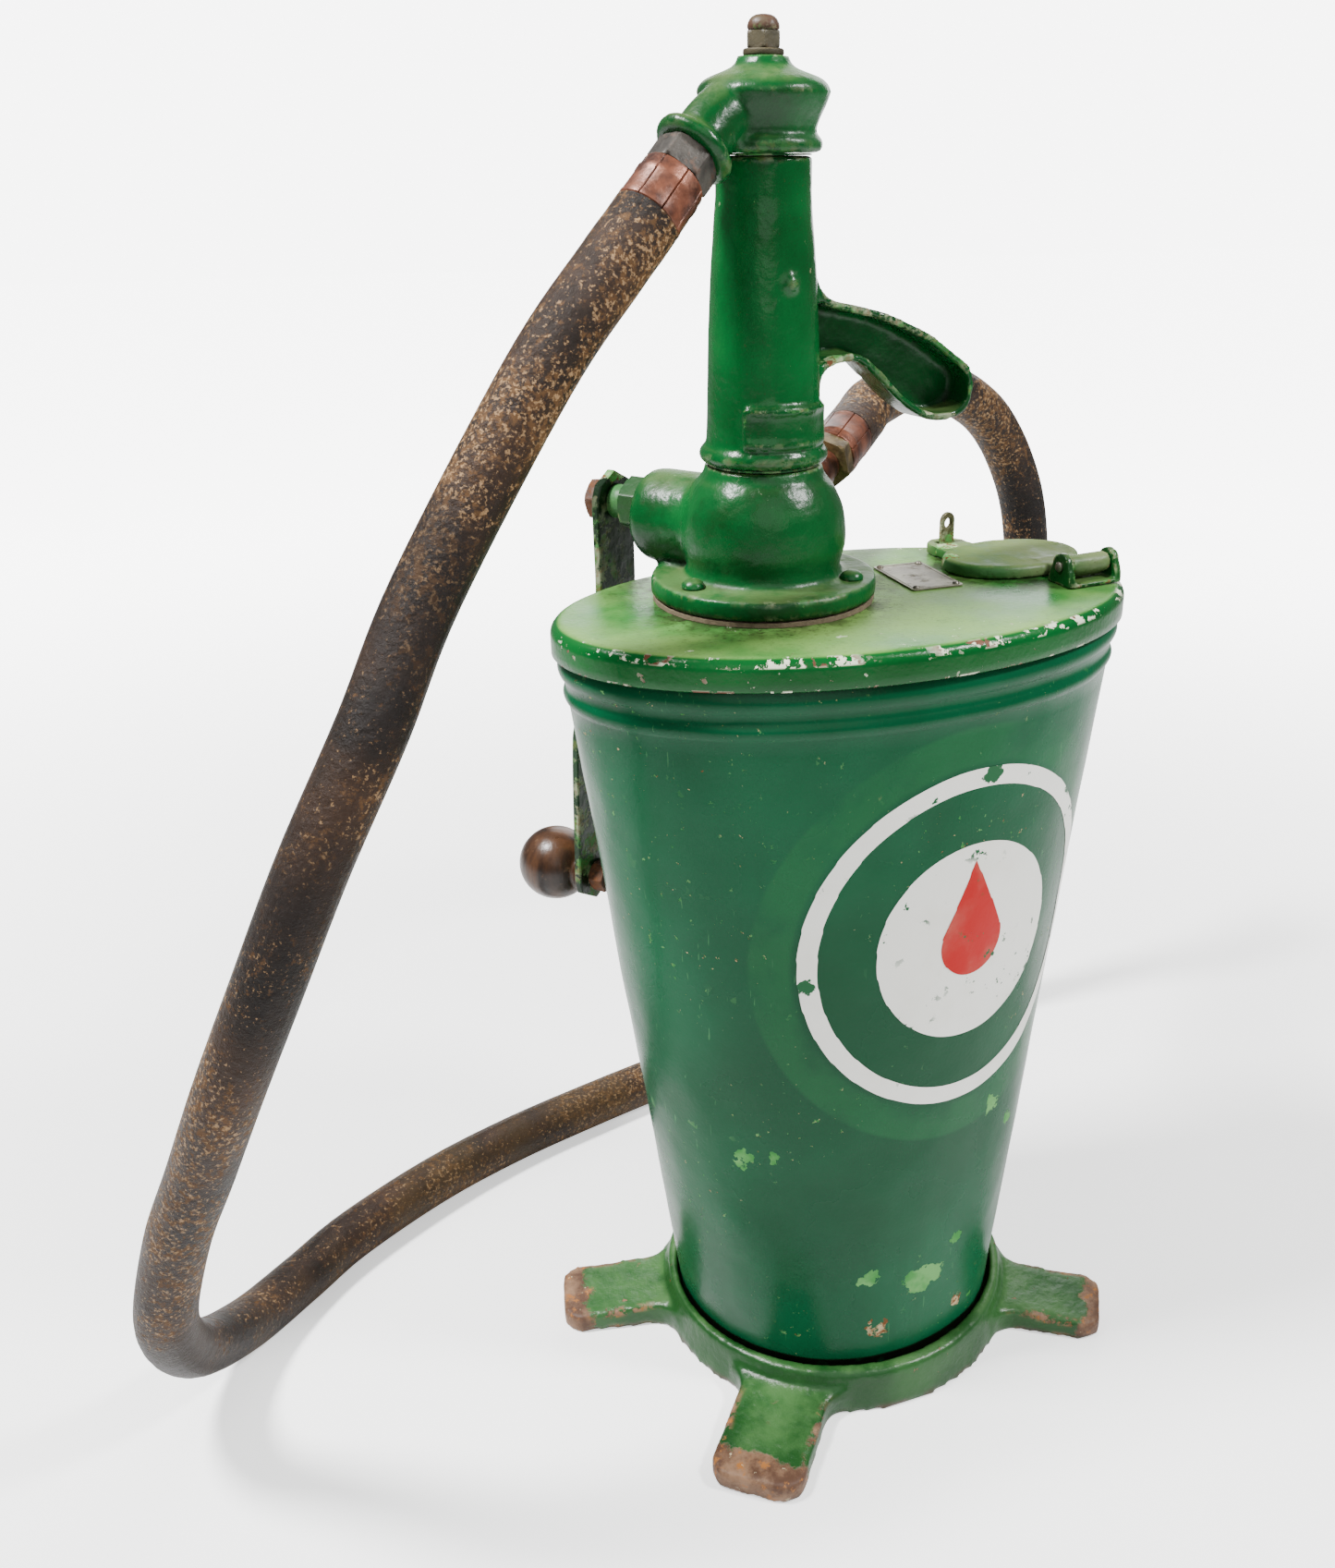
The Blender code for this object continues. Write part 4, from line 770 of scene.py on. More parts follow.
def build_base():
    rim = [
        (0.1100, 0.0062), (0.1100, 0.0262), (0.1108, 0.0276), (0.1125, 0.0281), (0.1140, 0.0279), (0.1155, 0.0268),
        (0.1164, 0.0245), (0.1185, 0.0120), (0.1210, 0.0), (0.060, 0.0), (0.060, 0.0062),
    ]
    ring_verts, ring_faces = turned(rim, FLOOR, 180, ringed=True)
    for vert in ring_verts:
        if vert.z > 0.0061:
            near_socket = min(1.0, max(0.0, (0.1150 - vert.xy.length) / 0.005))
            vert.y *= 1.0 - 0.042 * near_socket
    shapes = [(ring_verts, ring_faces), turned([(0.0, 0.0), (0.07, 0.0), (0.07, 0.006), (0.0, 0.006)], FLOOR, 64)]
    for azimuth, tip, half in ((167.0, 0.190, 0.0250), (231.5, 0.193, 0.0285), (327.0, 0.186, 0.0245), (58.0, 0.190, 0.0265)):
        fillet = 0.016
        centre_y = half + fillet
        centre_x = math.sqrt((0.121 + fillet) ** 2 - centre_y ** 2)
        start = math.degrees(math.atan2(centre_y, -centre_x))
        side = arc((centre_x, -centre_y), fillet, start, 90, 12)
        side += [(x, -half - 0.0004 * math.sin((x - centre_x) * 60)) for x in (0.140, 0.150, 0.160, 0.168)]
        side += arc((tip - 0.015, -(half - 0.014)), 0.015, -84, -18, 10)
        outline = [(0.111, side[0][1])] + side + [(x, -y) for x, y in reversed(side)] + [(0.111, -side[0][1])]
        place = frame_at((0, 0, 0), (0, 0, 1), direction(azimuth + 90))
        verts, faces = extruded(outline, 0.0, 0.0190, place)
        into = place.inverted()
        lowered = []
        for v in verts:
            local = into @ v
            if local.z > 0.01:
                local.z -= 0.0050 / (tip - 0.116) * max(local.x - 0.116, 0.0)
                crowded = min(1.0, abs(local.y) / half)
                local.z -= 0.0012 * crowded ** 2
            lowered.append(place @ local)
        shapes.append((lowered, faces))
    base = piece("base_foot_casting", shapes, "stand", ["base_casting"], base_paint())
    soften(base, 0.0026, 5, 0.0003, 0.018)
    for vert in base.data.vertices:
        vert.co.z = max(vert.co.z, 0.0)


def tank_point(angle, z, out=0.0):
    half_x, half_y = tank_half(z)
    dent = 0.0009 * noise.noise(Vector((math.cos(angle) * 1.7, math.sin(angle) * 1.7, z * 9.0)))
    dent += 0.0004 * noise.noise(Vector((math.cos(angle) * 6.0, math.sin(angle) * 6.0, z * 30.0)))
    return Vector(((half_x + out + dent) * math.cos(angle), (half_y + out + dent) * math.sin(angle), z))


def build_tank():
    levels = [(0.008, 0.0)]
    z = 0.016
    while z < 0.452:
        levels.append((z, 0.0))
        z += 0.008
    for centre, half, bulge in ((0.4615, 0.0050, 0.0020), (0.4770, 0.0065, 0.0025)):
        for i in range(-5, 6):
            t = i / 5
            levels.append((centre + t * half, bulge * math.cos(math.pi * t / 2)))
    levels += [(0.4850, 0.0), (0.4900, 0.0), (0.4965, 0.0)]
    outer = [[tank_point(2 * math.pi * i / 200, z, b) for i in range(200)] for z, b in levels]
    inner = [[tank_point(2 * math.pi * i / 200, max(z, 0.0096), b - 0.0016) for i in range(200)] for z, b in levels]
    p = tank_paint()
    piece("tank_sheet", [loops_solid(outer + inner[::-1])], "stand", ["tank_shell"], p, smooth=60.0)


def tank_paint():
    """Darker sheet enamel, spotted with paler chips and rust towards the foot."""
    p = Paint("green_tank_sheet", 0.22)
    tone = p.mix(p.step(p.noise(5.0, 4.0), 0.35, 0.68), (0.0001, 0.045, 0.015), (0.0003, 0.076, 0.028))
    low = p.step(p.axis("Z"), 0.30, 0.04)
    tone = p.mix(p.times(low, 0.6, p.step(p.noise(8.0, 5.0, 0.65), 0.35, 0.65)), tone, (0.004, 0.078, 0.029))
    streak = p.times(p.step(p.noise(34.0, 5.0, 0.6, (1.0, 1.0, 0.12)), 0.55, 0.75), 0.35)
    tone = p.mix(streak, tone, (0.001, 0.050, 0.017))
    sign_spot = p.away((0.0375, -0.0975, 0.3200))
    ghost = p.times(p.step(sign_spot, 0.134, 0.131), p.step(sign_spot, 0.108, 0.112))
    tone = p.mix(p.times(ghost, p.step(p.noise(22.0, 5.0), 0.30, 0.60), 0.45), tone, (0.006, 0.100, 0.028))
    spatter = p.times(p.step(p.noise(230.0, 4.0, 0.65), 0.655, 0.67), p.step(p.noise(9.0, 3.0), 0.48, 0.60))
    leaf = p.times(p.step(p.noise(52.0, 4.0, 0.6), 0.665, 0.672), p.step(p.noise(7.0, 3.0), 0.50, 0.60), p.most(low, 0.2))
    for point, radius in (
        ((0.0120, -0.1030, 0.0800), 0.0100),
        ((0.0220, -0.1020, 0.0820), 0.0080),
        ((-0.0230, -0.1015, 0.0930), 0.0060),
        ((0.0420, -0.0985, 0.1020), 0.0050),
        ((-0.0910, -0.0640, 0.1830), 0.0080),
        ((-0.0760, -0.0770, 0.1870), 0.0060),
        ((0.0650, -0.0900, 0.1930), 0.0060),
        ((0.0850, -0.0780, 0.1700), 0.0050),
    ):
        leaf = p.most(leaf, p.near(point, radius, 1.5, 0.06))
    rusty = p.times(p.near((-0.0150, -0.1030, 0.0500), 0.0075, 1.5, 0.1), p.step(p.noise(160.0, 5.0), 0.42, 0.50))
    rusty = p.most(rusty, p.near((0.0450, -0.0960, 0.0480), 0.0045, 1.5, 0.1))
    rusty = p.most(rusty, p.times(spatter, p.step(p.noise(330.0, 3.0), 0.50, 0.60)))
    paler = p.mix(p.step(p.noise(45.0, 4.0), 0.40, 0.60), (0.030, 0.190, 0.035), (0.110, 0.300, 0.090))
    tone = p.mix(p.most(p.times(spatter, 0.8), leaf), tone, paler)
    tone = p.mix(rusty, tone, p.mix(p.step(p.noise(240.0, 4.0), 0.42, 0.58), (0.13, 0.045, 0.010), (0.42, 0.33, 0.18)))
    scratch = p.times(
        p.step(p.noise(70.0, 2.0, 0.5, (7.0, 7.0, 0.7), 0.3), 0.70, 0.72),
        p.step(p.noise(6.0, 2.0), 0.50, 0.58),
    )
    tone = p.mix(p.times(scratch, 0.5), tone, (0.05, 0.20, 0.07))
    # painted shade: the tank darkened to near black where it goes down into the base ring
    foot = p.times(p.step(p.axis("Z"), 0.0300, 0.0285), p.step(p.noise(60.0, 4.0), 0.20, 0.45))
    tone = p.mix(foot, tone, (0.003, 0.004, 0.002))
    # painted shadow: a near-black band on the tank just under the lid's edge
    lid_shadow = p.times(p.step(p.axis("Z"), 0.4815, 0.4855), 0.9)
    tone = p.mix(lid_shadow, tone, (0.001, 0.004, 0.001))
    p.colour(tone)
    bare = p.most(leaf, rusty, spatter)
    p.rough(p.math("ADD", p.times(bare, 0.3), p.math("ADD", p.times(p.noise(14.0, 5.0), 0.22), 0.16)))
    p.shader.inputs["Specular IOR Level"].default_value = 0.14
    p.bump((p.noise(20.0, 2.0), 0.0014), (p.noise(420.0, 3.0), 0.00012), (p.math("SUBTRACT", 1.0, bare), 0.00015))
    return p.done()


def build_lid():
    shoulder = [(0.0, 0.4852)]
    outer = [(0.0006, 0.4852), (0.0, 0.4858), (0.0, 0.4900), (0.0, 0.4961)]
    for i in range(1, 10):
        a = math.radians(10 * i)
        outer.append((0.007 * (1 - math.cos(a)), 0.4961 + 0.007 * math.sin(a)))
    rows = [(LID[0] - inset, LID[1] - inset, z) for inset, z in outer]
    flat = []
    for inset in (0.010, 0.014, 0.020, 0.028, 0.038, 0.050, 0.064, 0.080):
        flat.append((LID[0] - inset, LID[1] - inset, LID_TOP))
    inner = [(x - 0.0020, y - 0.0020, min(z, 0.4938)) for x, y, z in rows[:4]]
    inner += [(LID[0] - 0.0065, LID[1] - 0.0065, 0.5008), (LID[0] - 0.012, LID[1] - 0.012, 0.5011)]
    paint = lid_paint()
    lid = piece("lid_pressing", [ovals(inner[::-1] + rows + flat, FLOOR, 220)], "stand", ["tank_lid"], paint, smooth=60.0)
    for vert in lid.data.vertices:
        if vert.co.z > 0.5005:
            vert.co.z += 0.0003 * noise.noise(Vector((vert.co.x, vert.co.y, 0.0)) / 0.035)
    cut_with(lid, [turned([(0.0, 0.47), (0.0252, 0.47), (0.0252, 0.52), (0.0, 0.52)], frame_at(FILLER), 72)])
    lid.data.shade_smooth()
    lid.data.set_sharp_from_angle(angle=math.radians(50))


def lid_paint():
    """Enamel painted a lighter green on top as painted light, dulled by dust on top, gritty round the pump, its front
    edge chipped white and brown.
    """
    p = Paint("green_lid", 0.35)
    tone = p.mix(p.step(p.noise(7.0, 4.0), 0.35, 0.68), (0.0003, 0.042, 0.006), (0.0020, 0.080, 0.014))
    top = p.step(p.facing_up(), 0.80, 0.99)
    edge_on = p.step(p.axis("Z"), 0.5018, 0.5028)
    haze = p.times(top, edge_on, p.step(p.noise(7.0, 5.0, 0.55), 0.40, 0.62))
    # painted light: the top face painted a lighter green
    tone = p.mix(p.times(top, 0.5), tone, (0.016, 0.165, 0.026))
    tone = p.mix(p.times(haze, 0.85), tone, (0.150, 0.265, 0.062))
    tone = p.mix(p.times(top, p.step(p.noise(24.0, 5.0, 0.65), 0.56, 0.72), 0.5), tone, (0.030, 0.085, 0.014))
    near_pump = p.near((PUMP.x, PUMP.y, LID_TOP), 0.098, 0.45, 0.40)
    near_cap = p.near((FILLER.x - 0.01, FILLER.y, LID_TOP), 0.062, 0.35, 0.45)
    dirty = p.most(near_pump, p.times(near_cap, 0.8))
    crumbs = p.times(p.step(p.cells(230.0), 0.30, 0.22), p.step(p.noise(120.0, 3.0), 0.50, 0.56))
    fine = p.step(p.noise(420.0, 4.0, 0.7), 0.57, 0.61)
    grit = p.times(top, p.most(crumbs, fine), p.math("ADD", p.times(dirty, 0.75), 0.22))
    tone = p.mix(grit, tone, (0.010, 0.006, 0.003))
    dirt = p.times(top, dirty, p.step(p.noise(60.0, 5.0, 0.7), 0.40, 0.58), 0.85)
    tone = p.mix(dirt, tone, (0.014, 0.014, 0.005))
    edge = p.times(p.step(p.axis("Z"), 0.4978, 0.4992), p.step(p.axis("Z"), 0.5029, 0.5022))
    edge = p.times(edge, p.step(p.axis("Y"), 0.030, -0.010))
    chips = p.times(edge, p.step(p.noise(105.0, 5.0, 0.65), 0.535, 0.545), p.step(p.noise(11.0, 3.0), 0.47, 0.53))
    hem = p.times(p.step(p.axis("Z"), 0.4868, 0.4858), p.step(p.noise(70.0, 5.0, 0.65), 0.56, 0.58))
    stray = p.times(p.step(p.noise(150.0, 5.0, 0.6), 0.665, 0.675), p.step(p.noise(15.0, 3.0), 0.48, 0.60))
    bare = p.most(chips, hem, stray)
    tone = p.mix(bare, tone, (0.58, 0.62, 0.46))
    rusty = p.times(bare, p.step(p.noise(40.0, 5.0, 0.65), 0.50, 0.53))
    tone = p.mix(rusty, tone, p.mix(p.noise(260.0, 4.0), (0.050, 0.018, 0.010), (0.14, 0.055, 0.025)))
    p.colour(tone)
    p.rough(p.math("ADD", p.times(p.most(haze, bare, dirt), 0.30), p.math("ADD", p.times(p.noise(40.0), 0.12), 0.18)))
    p.shader.inputs["Specular IOR Level"].default_value = 0.20
    p.bump((p.noise(26.0, 3.0), 0.0010), (p.noise(380.0, 4.0), 0.00022), (p.math("SUBTRACT", 1.0, bare), 0.0003))
    return p.done()


# ---------------------------------------------------------------- the round sign
def build_sign():
    """A plain ring and an oil drop, wrapped on the tank a hair proud of the paint."""
    middle_z = 0.3200
    middle_x = 0.0375
    radius = 0.1075
    samples = 720
    angles = [math.radians(-150 + 180 * i / samples) for i in range(samples + 1)]

    def across(z):
        half_x, half_y = tank_half(z)
        runs = [0.0]
        for a, b in zip(angles, angles[1:]):
            step = Vector((half_x * (math.cos(b) - math.cos(a)), half_y * (math.sin(b) - math.sin(a))))
            runs.append(runs[-1] + step.length)
        zero = min(range(len(angles)), key=lambda i: abs(half_x * math.cos(angles[i]) - middle_x))
        return [r - runs[zero] for r in runs]

    rows = {}

    def on_tank(u, v, out):
        z = round(middle_z + v, 4)
        if z not in rows:
            rows[z] = across(z)
        runs = rows[z]
        lo, hi = 0, len(runs) - 1
        while hi - lo > 1:
            mid = (lo + hi) // 2
            if runs[mid] < u:
                lo = mid
            else:
                hi = mid
        t = (u - runs[lo]) / (runs[hi] - runs[lo])
        return tank_point(angles[lo] * (1 - t) + angles[hi] * t, middle_z + v, out)

    def sheet_piece(name, inside, material, out, cell=0.0022, reach=radius):
        count = int(2 * reach / cell)
        index = {}
        verts = []
        faces = []
        for i in range(count):
            for j in range(count):
                corners = []
                ok = True
                for di, dj in ((0, 0), (1, 0), (1, 1), (0, 1)):
                    u = -reach + (i + di) * cell
                    v = -reach + (j + dj) * cell
                    ok = ok and inside(u, v)
                    corners.append((i + di, j + dj))
                if not ok:
                    continue
                for key in corners:
                    if key not in index:
                        index[key] = len(verts)
                        verts.append(on_tank(-reach + key[0] * cell, -reach + key[1] * cell, out))
                faces.append(tuple(index[key] for key in corners))
        obj = mesh_object(name, verts, faces)
        obj.data.shade_smooth()
        obj.data.materials.append(material)
        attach(obj, "stand")
        return obj

    def band(name, outer, inner, material, out, steps=240):
        """A ring between two radius functions of the angle."""
        loops = []
        for k in range(7):
            loop = []
            for i in range(steps):
                a = 2 * math.pi * i / steps
                r = inner(a) + (outer(a) - inner(a)) * k / 6
                loop.append(on_tank(r * math.cos(a), r * math.sin(a), out))
            loops.append(loop)
        verts, faces = loops_solid(loops, capped=False)
        obj = mesh_object(name, verts, faces)
        obj.data.shade_smooth()
        obj.data.materials.append(material)
        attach(obj, "stand")
        return obj

    white = sign_paint("sign_white", (0.74, 0.74, 0.69))
    red = sign_paint("sign_red", (0.36, 0.0005, 0.0005))
    band("sign_ring", lambda a: radius, lambda a: radius - 0.0115, white, 0.00025)

    def disc(a):
        return 0.062

    band("sign_disc", disc, lambda a: 0.0004, white, 0.00025, 180)

    def drop(a):
        """An oil drop: round below, drawn to a point above."""
        off = abs(math.pi / 2 - a)
        flank = 0.0215 / max(math.sin(off + 0.43), 0.0001)
        return min(flank, 0.0215) if off > math.pi / 2 - 0.43 else flank

    band("sign_drop", drop, lambda a: 0.0002, red, 0.00045, 180)


# ---------------------------------------------------------------- pump, column and head
def build_pump():
    profile = smooth_profile([
        (0.0, 0.5792), (0.0200, 0.5792), (0.0315, 0.5790), (0.0330, 0.5782), (0.0332, 0.5768), (0.0322, 0.5752),
        (0.0345, 0.5730), (0.0380, 0.5690), (0.0412, 0.5635), (0.0445, 0.5560), (0.0459, 0.5485), (0.0464, 0.5400),
        (0.0459, 0.5330), (0.0441, 0.5265), (0.0434, 0.5225),
    ], 4)
    profile += [(0.0440, 0.5192), (0.0458, 0.5180), (0.0480, 0.5176), (0.0622, 0.5175), (0.0635, 0.5170),
                (0.0642, 0.5158), (0.0642, 0.5061), (0.0, 0.5061)]
    boss_frame = frame_at(lifted(PUMP, SHAFT_Z - 0.0045), CRANK_DIR, (0, 0, 1))
    boss = [(0.0, 0.020), (0.0270, 0.020), (0.0270, 0.066), (0.0266, 0.0705), (0.0254, 0.0738), (0.0232, 0.0760),
            (0.0205, 0.077), (0.0, 0.077)]
    web = frame_at(PUMP, (0, 0, 1), CRANK_DIR)
    web_outline = [(-0.0185, 0.030), (0.0185, 0.030), (0.0160, 0.0600), (-0.0160, 0.0600)]
    spigot = [(0.0, 0.030), (0.0190, 0.030), (0.0178, 0.060), (0.0172, 0.0680), (0.0155, 0.0700), (0.0, 0.0700)]
    body = piece(
        "pump_casting",
        [
            turned(profile, PUMP_FRAME, 160),
            turned(boss, boss_frame, 128),
            extruded(web_outline, 0.5120, 0.5300, web),
            turned(spigot, PARK_FRAME, 96),
        ],
        "stand", ["pump_body"], CAST,
    )
    soften(body, 0.0022, 3, 0.0003, 0.016)
    for i, azimuth in enumerate((200.3, 320.3, 80.3)):
        place = frame_at(PUMP + 0.052 * direction(azimuth))
        seat = 0.5177
        head = [(0.0, seat), (0.0064, seat), (0.0067, seat + 0.0006), (0.0064, seat + 0.0018), (0.0054, seat + 0.0032),
                (0.0040, seat + 0.0042), (0.0020, seat + 0.0048), (0.0, seat + 0.0049)]
        piece(f"flange_dome_{i + 1}", [turned(head, place, 48)], "stand", [f"flange_screw_{i + 1}"], CAST)


SPOUT_SIDE = (
    (0.0185, 0.6900), (0.0264, 0.6761), (0.0324, 0.6675), (0.0384, 0.6639), (0.0565, 0.6597), (0.0744, 0.6549),
    (0.1015, 0.6435), (0.1191, 0.6323), (0.1310, 0.6238), (0.1357, 0.6146), (0.1339, 0.6027), (0.1262, 0.5957),
    (0.1130, 0.5938), (0.1002, 0.5966), (0.0835, 0.6068), (0.0683, 0.6206), (0.0543, 0.6306), (0.0392, 0.6301),
    (0.0320, 0.6257), (0.0275, 0.6138), (0.0230, 0.6060),
)


def inset(outline, distance):
    moved = []
    for before, here, after in zip(outline[-1:] + outline, outline, outline[1:] + outline[:1]):
        along = Vector((after[0] - before[0], after[1] - before[1])).normalized()
        moved.append((here[0] + along.y * distance, here[1] - along.x * distance))
    return moved


def build_column():
    profile = [
        (0.0, 0.7355), (0.0250, 0.7355), (0.0250, 0.7170), (0.0265, 0.7000), (0.0282, 0.6760), (0.0297, 0.6480),
        (0.0310, 0.6040), (0.0316, 0.5910), (0.0322, 0.5897), (0.0338, 0.5890), (0.0352, 0.5873), (0.0357, 0.5850),
        (0.0352, 0.5828), (0.0338, 0.5812), (0.0325, 0.5808), (0.0, 0.5808),
    ]
    side = [(p.x, p.y) for p in smooth_path([(x, z, 0.0) for x, z in SPOUT_SIDE], 5)]
    side = [(0.0185, 0.6900)] + side[1:-1] + [(0.0185, 0.6040)]
    inner = inset(side, 0.0042)
    inner[0] = (0.0200, 0.6750)
    inner[-1] = (0.0200, 0.6150)
    web = extruded(inset(side, 0.0020), -0.0115, -0.0068, SPOUT_FRAME)
    panel_frame = frame_at(PUMP, (0, 0, 1), direction(SPOUT_AZIMUTH))
    plate = arc((0.0, 0.0), 0.0325, -48, 48, 30) + arc((0.0, 0.0), 0.0260, 48, -48, 30)
    shapes = [
        turned(profile, PUMP_FRAME, 128),
        walled(side, inner, -0.0120, 0.0120, SPOUT_FRAME),
        web,
        extruded(plate, 0.5935, 0.6125, panel_frame),
    ]
    for low, high in ((0.5928, 0.5952), (0.6110, 0.6134)):
        edge = arc((0.0, 0.0), 0.0343, -49, 49, 30) + arc((0.0, 0.0), 0.0260, 49, -49, 30)
        shapes.append(extruded(edge, low, high, panel_frame))
    for low, high in ((-49.5, -45.5), (45.5, 49.5)):
        edge = arc((0.0, 0.0), 0.0343, low, high, 4) + arc((0.0, 0.0), 0.0260, high, low, 4)
        shapes.append(extruded(edge, 0.5928, 0.6134, panel_frame))
    bump_at = lifted(PUMP + 0.0262 * direction(SPOUT_AZIMUTH - 90), 0.675)
    bump_frame = frame_at(bump_at, direction(SPOUT_AZIMUTH - 90), (0, 0, 1))
    bump = [(0.0, -0.004), (0.0052, -0.004), (0.0050, 0.0016), (0.0036, 0.0040), (0.0018, 0.0050), (0.0, 0.0052)]
    shapes.append(turned(bump, bump_frame, 32))
    paint = enamel(
        "green_column", GREEN_DEEP, GREEN_BRIGHT, 0.22, dust=0.3, wear=0.65, soot=0.40, chips=0.4,
        spots=(((0.0600, 0.0230, 0.6050), 0.007), ((-0.0060, 0.0130, 0.6320), 0.006)),
    )
    column = piece("column_casting", shapes, "stand", ["column"], paint)
    soften(column, 0.0018, 3, 0.0003, 0.015)


def build_head():
    profile = smooth_profile([
        (0.0340, 0.7650), (0.0333, 0.7632), (0.0326, 0.7612), (0.0312, 0.7578), (0.0294, 0.7544), (0.0279, 0.7510),
        (0.0266, 0.7470),
    ], 3)
    profile = [
        (0.0, 0.7813), (0.0130, 0.7813), (0.0135, 0.7806), (0.0135, 0.7782), (0.0143, 0.7772), (0.0165, 0.7760),
        (0.0198, 0.7746), (0.0244, 0.7730), (0.0287, 0.7713), (0.0315, 0.7694), (0.0331, 0.7675), (0.0337, 0.7660),
    ] + profile + [
        (0.0270, 0.7455), (0.0284, 0.7446), (0.0300, 0.7431), (0.0306, 0.7407), (0.0300, 0.7385), (0.0284, 0.7371),
        (0.0270, 0.7369), (0.0, 0.7369),
    ]
    line = ((0.0000, 0.7585), (0.0060, 0.7580), (0.0170, 0.7568), (0.0250, 0.7548), (0.0320, 0.7519), (0.0380, 0.7478))
    away = direction(ELBOW_AZIMUTH)
    path = [PUMP + h * away + Vector((0, 0, z)) for h, z in line] + [ELBOW_END]
    path = smooth_path(path, 4)
    count = len(path)
    radii = [0.0175 - 0.0027 * min(1.0, k / (0.7 * count)) for k in range(count)]
    ring = [(0.0, -0.0042)]
    ring += [(0.0170 + 0.0040 * math.cos(math.radians(t)), 0.0042 * math.sin(math.radians(t))) for t in range(-90, 91, 15)]
    ring += [(0.0, 0.0042)]
    head = piece(
        "head_casting",
        [turned(profile, PUMP_FRAME, 128), swept(path, radii, 64), turned(ring, ELBOW_FRAME, 96)],
        "stand", ["pump_head"], CAST,
    )
    soften(head, 0.0018, 3, 0.0003, 0.015)
    washer = [(0.0043, 0.7816), (0.0100, 0.7816), (0.0104, 0.7822), (0.0102, 0.7840), (0.0094, 0.7846), (0.0043, 0.7846)]
    olive = metal("olive_iron", (0.012, 0.010, 0.004), (0.050, 0.040, 0.016), 0.55, 0.30, 0.10)
    piece("gland_washer", [turned(washer, PUMP_FRAME, 64, ringed=True)], "stand", ["top_washer"], olive)
    nut("gland_hexagon", 0.0158, 0.7848, 0.7925, PUMP_FRAME, 0.0043, "stand", "top_nut", olive, 12)
    dome = [
        (0.0043, 0.7928), (0.0076, 0.7928), (0.0081, 0.7935), (0.0081, 0.7948), (0.0077, 0.7962), (0.0069, 0.7976),
        (0.0056, 0.7988), (0.0038, 0.7996), (0.0018, 0.7999), (0.0004, 0.8000), (0.0004, 0.7970), (0.0043, 0.7970),
    ]
    brown = enamel("flaked_dome", (0.022, 0.010, 0.006), (0.060, 0.030, 0.018), 0.40, wear=0.3, soot=0.5, chips=0.8)
    piece("dome_nut", [turned(dome, PUMP_FRAME, 64, ringed=True)], "stand", ["acorn_nut"], brown)


# ---------------------------------------------------------------- crank
def build_crank():
    hub = [(0.0063, 0.0905), (0.0098, 0.0905), (0.0101, 0.0910), (0.0099, 0.0960), (0.0101, 0.1006), (0.0098, 0.1012),
           (0.0063, 0.1012)]
    pale = enamel("worn_hub", (0.025, 0.12, 0.03), (0.09, 0.20, 0.07), 0.40, wear=0.9, soot=0.5, chips=0.9)
    piece("hub_sleeve", [turned(hub, SHAFT, 64, ringed=True)], "crank", ["crank_hub"], pale)

    half = 0.0025
    rows = [
        (0.1040, 0.5645), (0.1040, 0.5300), (0.1040, 0.5050), (0.1042, 0.4950), (0.1050, 0.4880), (0.1066, 0.4800),
        (0.1096, 0.4680), (0.1216, 0.4220), (0.1250, 0.4080), (0.1268, 0.4000), (0.1280, 0.3920), (0.1296, 0.3650),
        (0.1312, 0.3200), (0.1327, 0.2727),
    ]
    dense = smooth_path([(s, z, 0.0) for s, z in rows], 5)
    loops = []
    for point in dense:
        y = point.y - SHAFT_Z
        top, low = 0.0, KNOB_Z - SHAFT_Z
        beyond = max(y - top, low - y, 0.0)
        width = math.sqrt(max(0.018 ** 2 - beyond ** 2, 0.0000004))
        edge = 0.0008
        loop = []
        for x, s in (
            (-width, -half + edge), (-width + edge, -half), (width - edge, -half), (width, -half + edge),
            (width, half - edge), (width - edge, half), (-width + edge, half), (-width, half - edge),
        ):
            loop.append(SHAFT @ Vector((x, y, point.x + s)))
        loops.append(loop)
    # painted shade: the arm is a near-black copy of the casting green, standing for shade on its inside face
    black = enamel(
        "crank_bar_shaded_paint", (0.001, 0.010, 0.002), (0.003, 0.035, 0.007), 0.35, wear=0.6, soot=0.7, chips=0.2,
        spots=((tuple(lifted(PUMP + 0.104 * CRANK_DIR, 0.566)), 0.012),),
    )
    arm = piece("crank_bar", [loops_solid(loops)], "crank", ["crank_arm"], black, smooth=35.0)
    nut("crank_hexagon", 0.0225, 0.1068, 0.1158, SHAFT, 0.0062, "crank", "crank_nut", IRON_RUST, 10)
    nut("gland_nut_hexagon", 0.0285, 0.0773, 0.0902, SHAFT, 0.0063, "stand", "gland_nut",
        enamel("gland_paint", (0.006, 0.045, 0.008), (0.030, 0.070, 0.018), 0.40, wear=1.0, soot=0.5, chips=0.8), 28)
    nut("spindle_hexagon", 0.0190, 0.1185, 0.1292, KNOB, 0.0052, "crank", "spindle_nut", IRON_RUST, 5)

    ball = [(0.0053, 0.1362), (0.0112, 0.1362), (0.0128, 0.1368), (0.0132, 0.1380), (0.0126, 0.1394), (0.0121, 0.1402)]
    ball += arc((0.0, 0.1635), 0.0250, -60, 88, 40)
    ball += [(0.0009, 0.1885), (0.0009, 0.1780), (0.0053, 0.1780)]

    def grooves(a, r, h):
        """Two fine turned lines round the ball."""
        return r - 0.0004 if r > 0.02 and (abs(h - 0.1560) < 0.0005 or abs(h - 0.1735) < 0.0005) else r

    piece("knob_ball", [turned(ball, KNOB, 96, ringed=True, ripple=grooves)], "knob", ["crank_knob"],
          knob_wood("turned_knob_wood"), smooth=50.0)


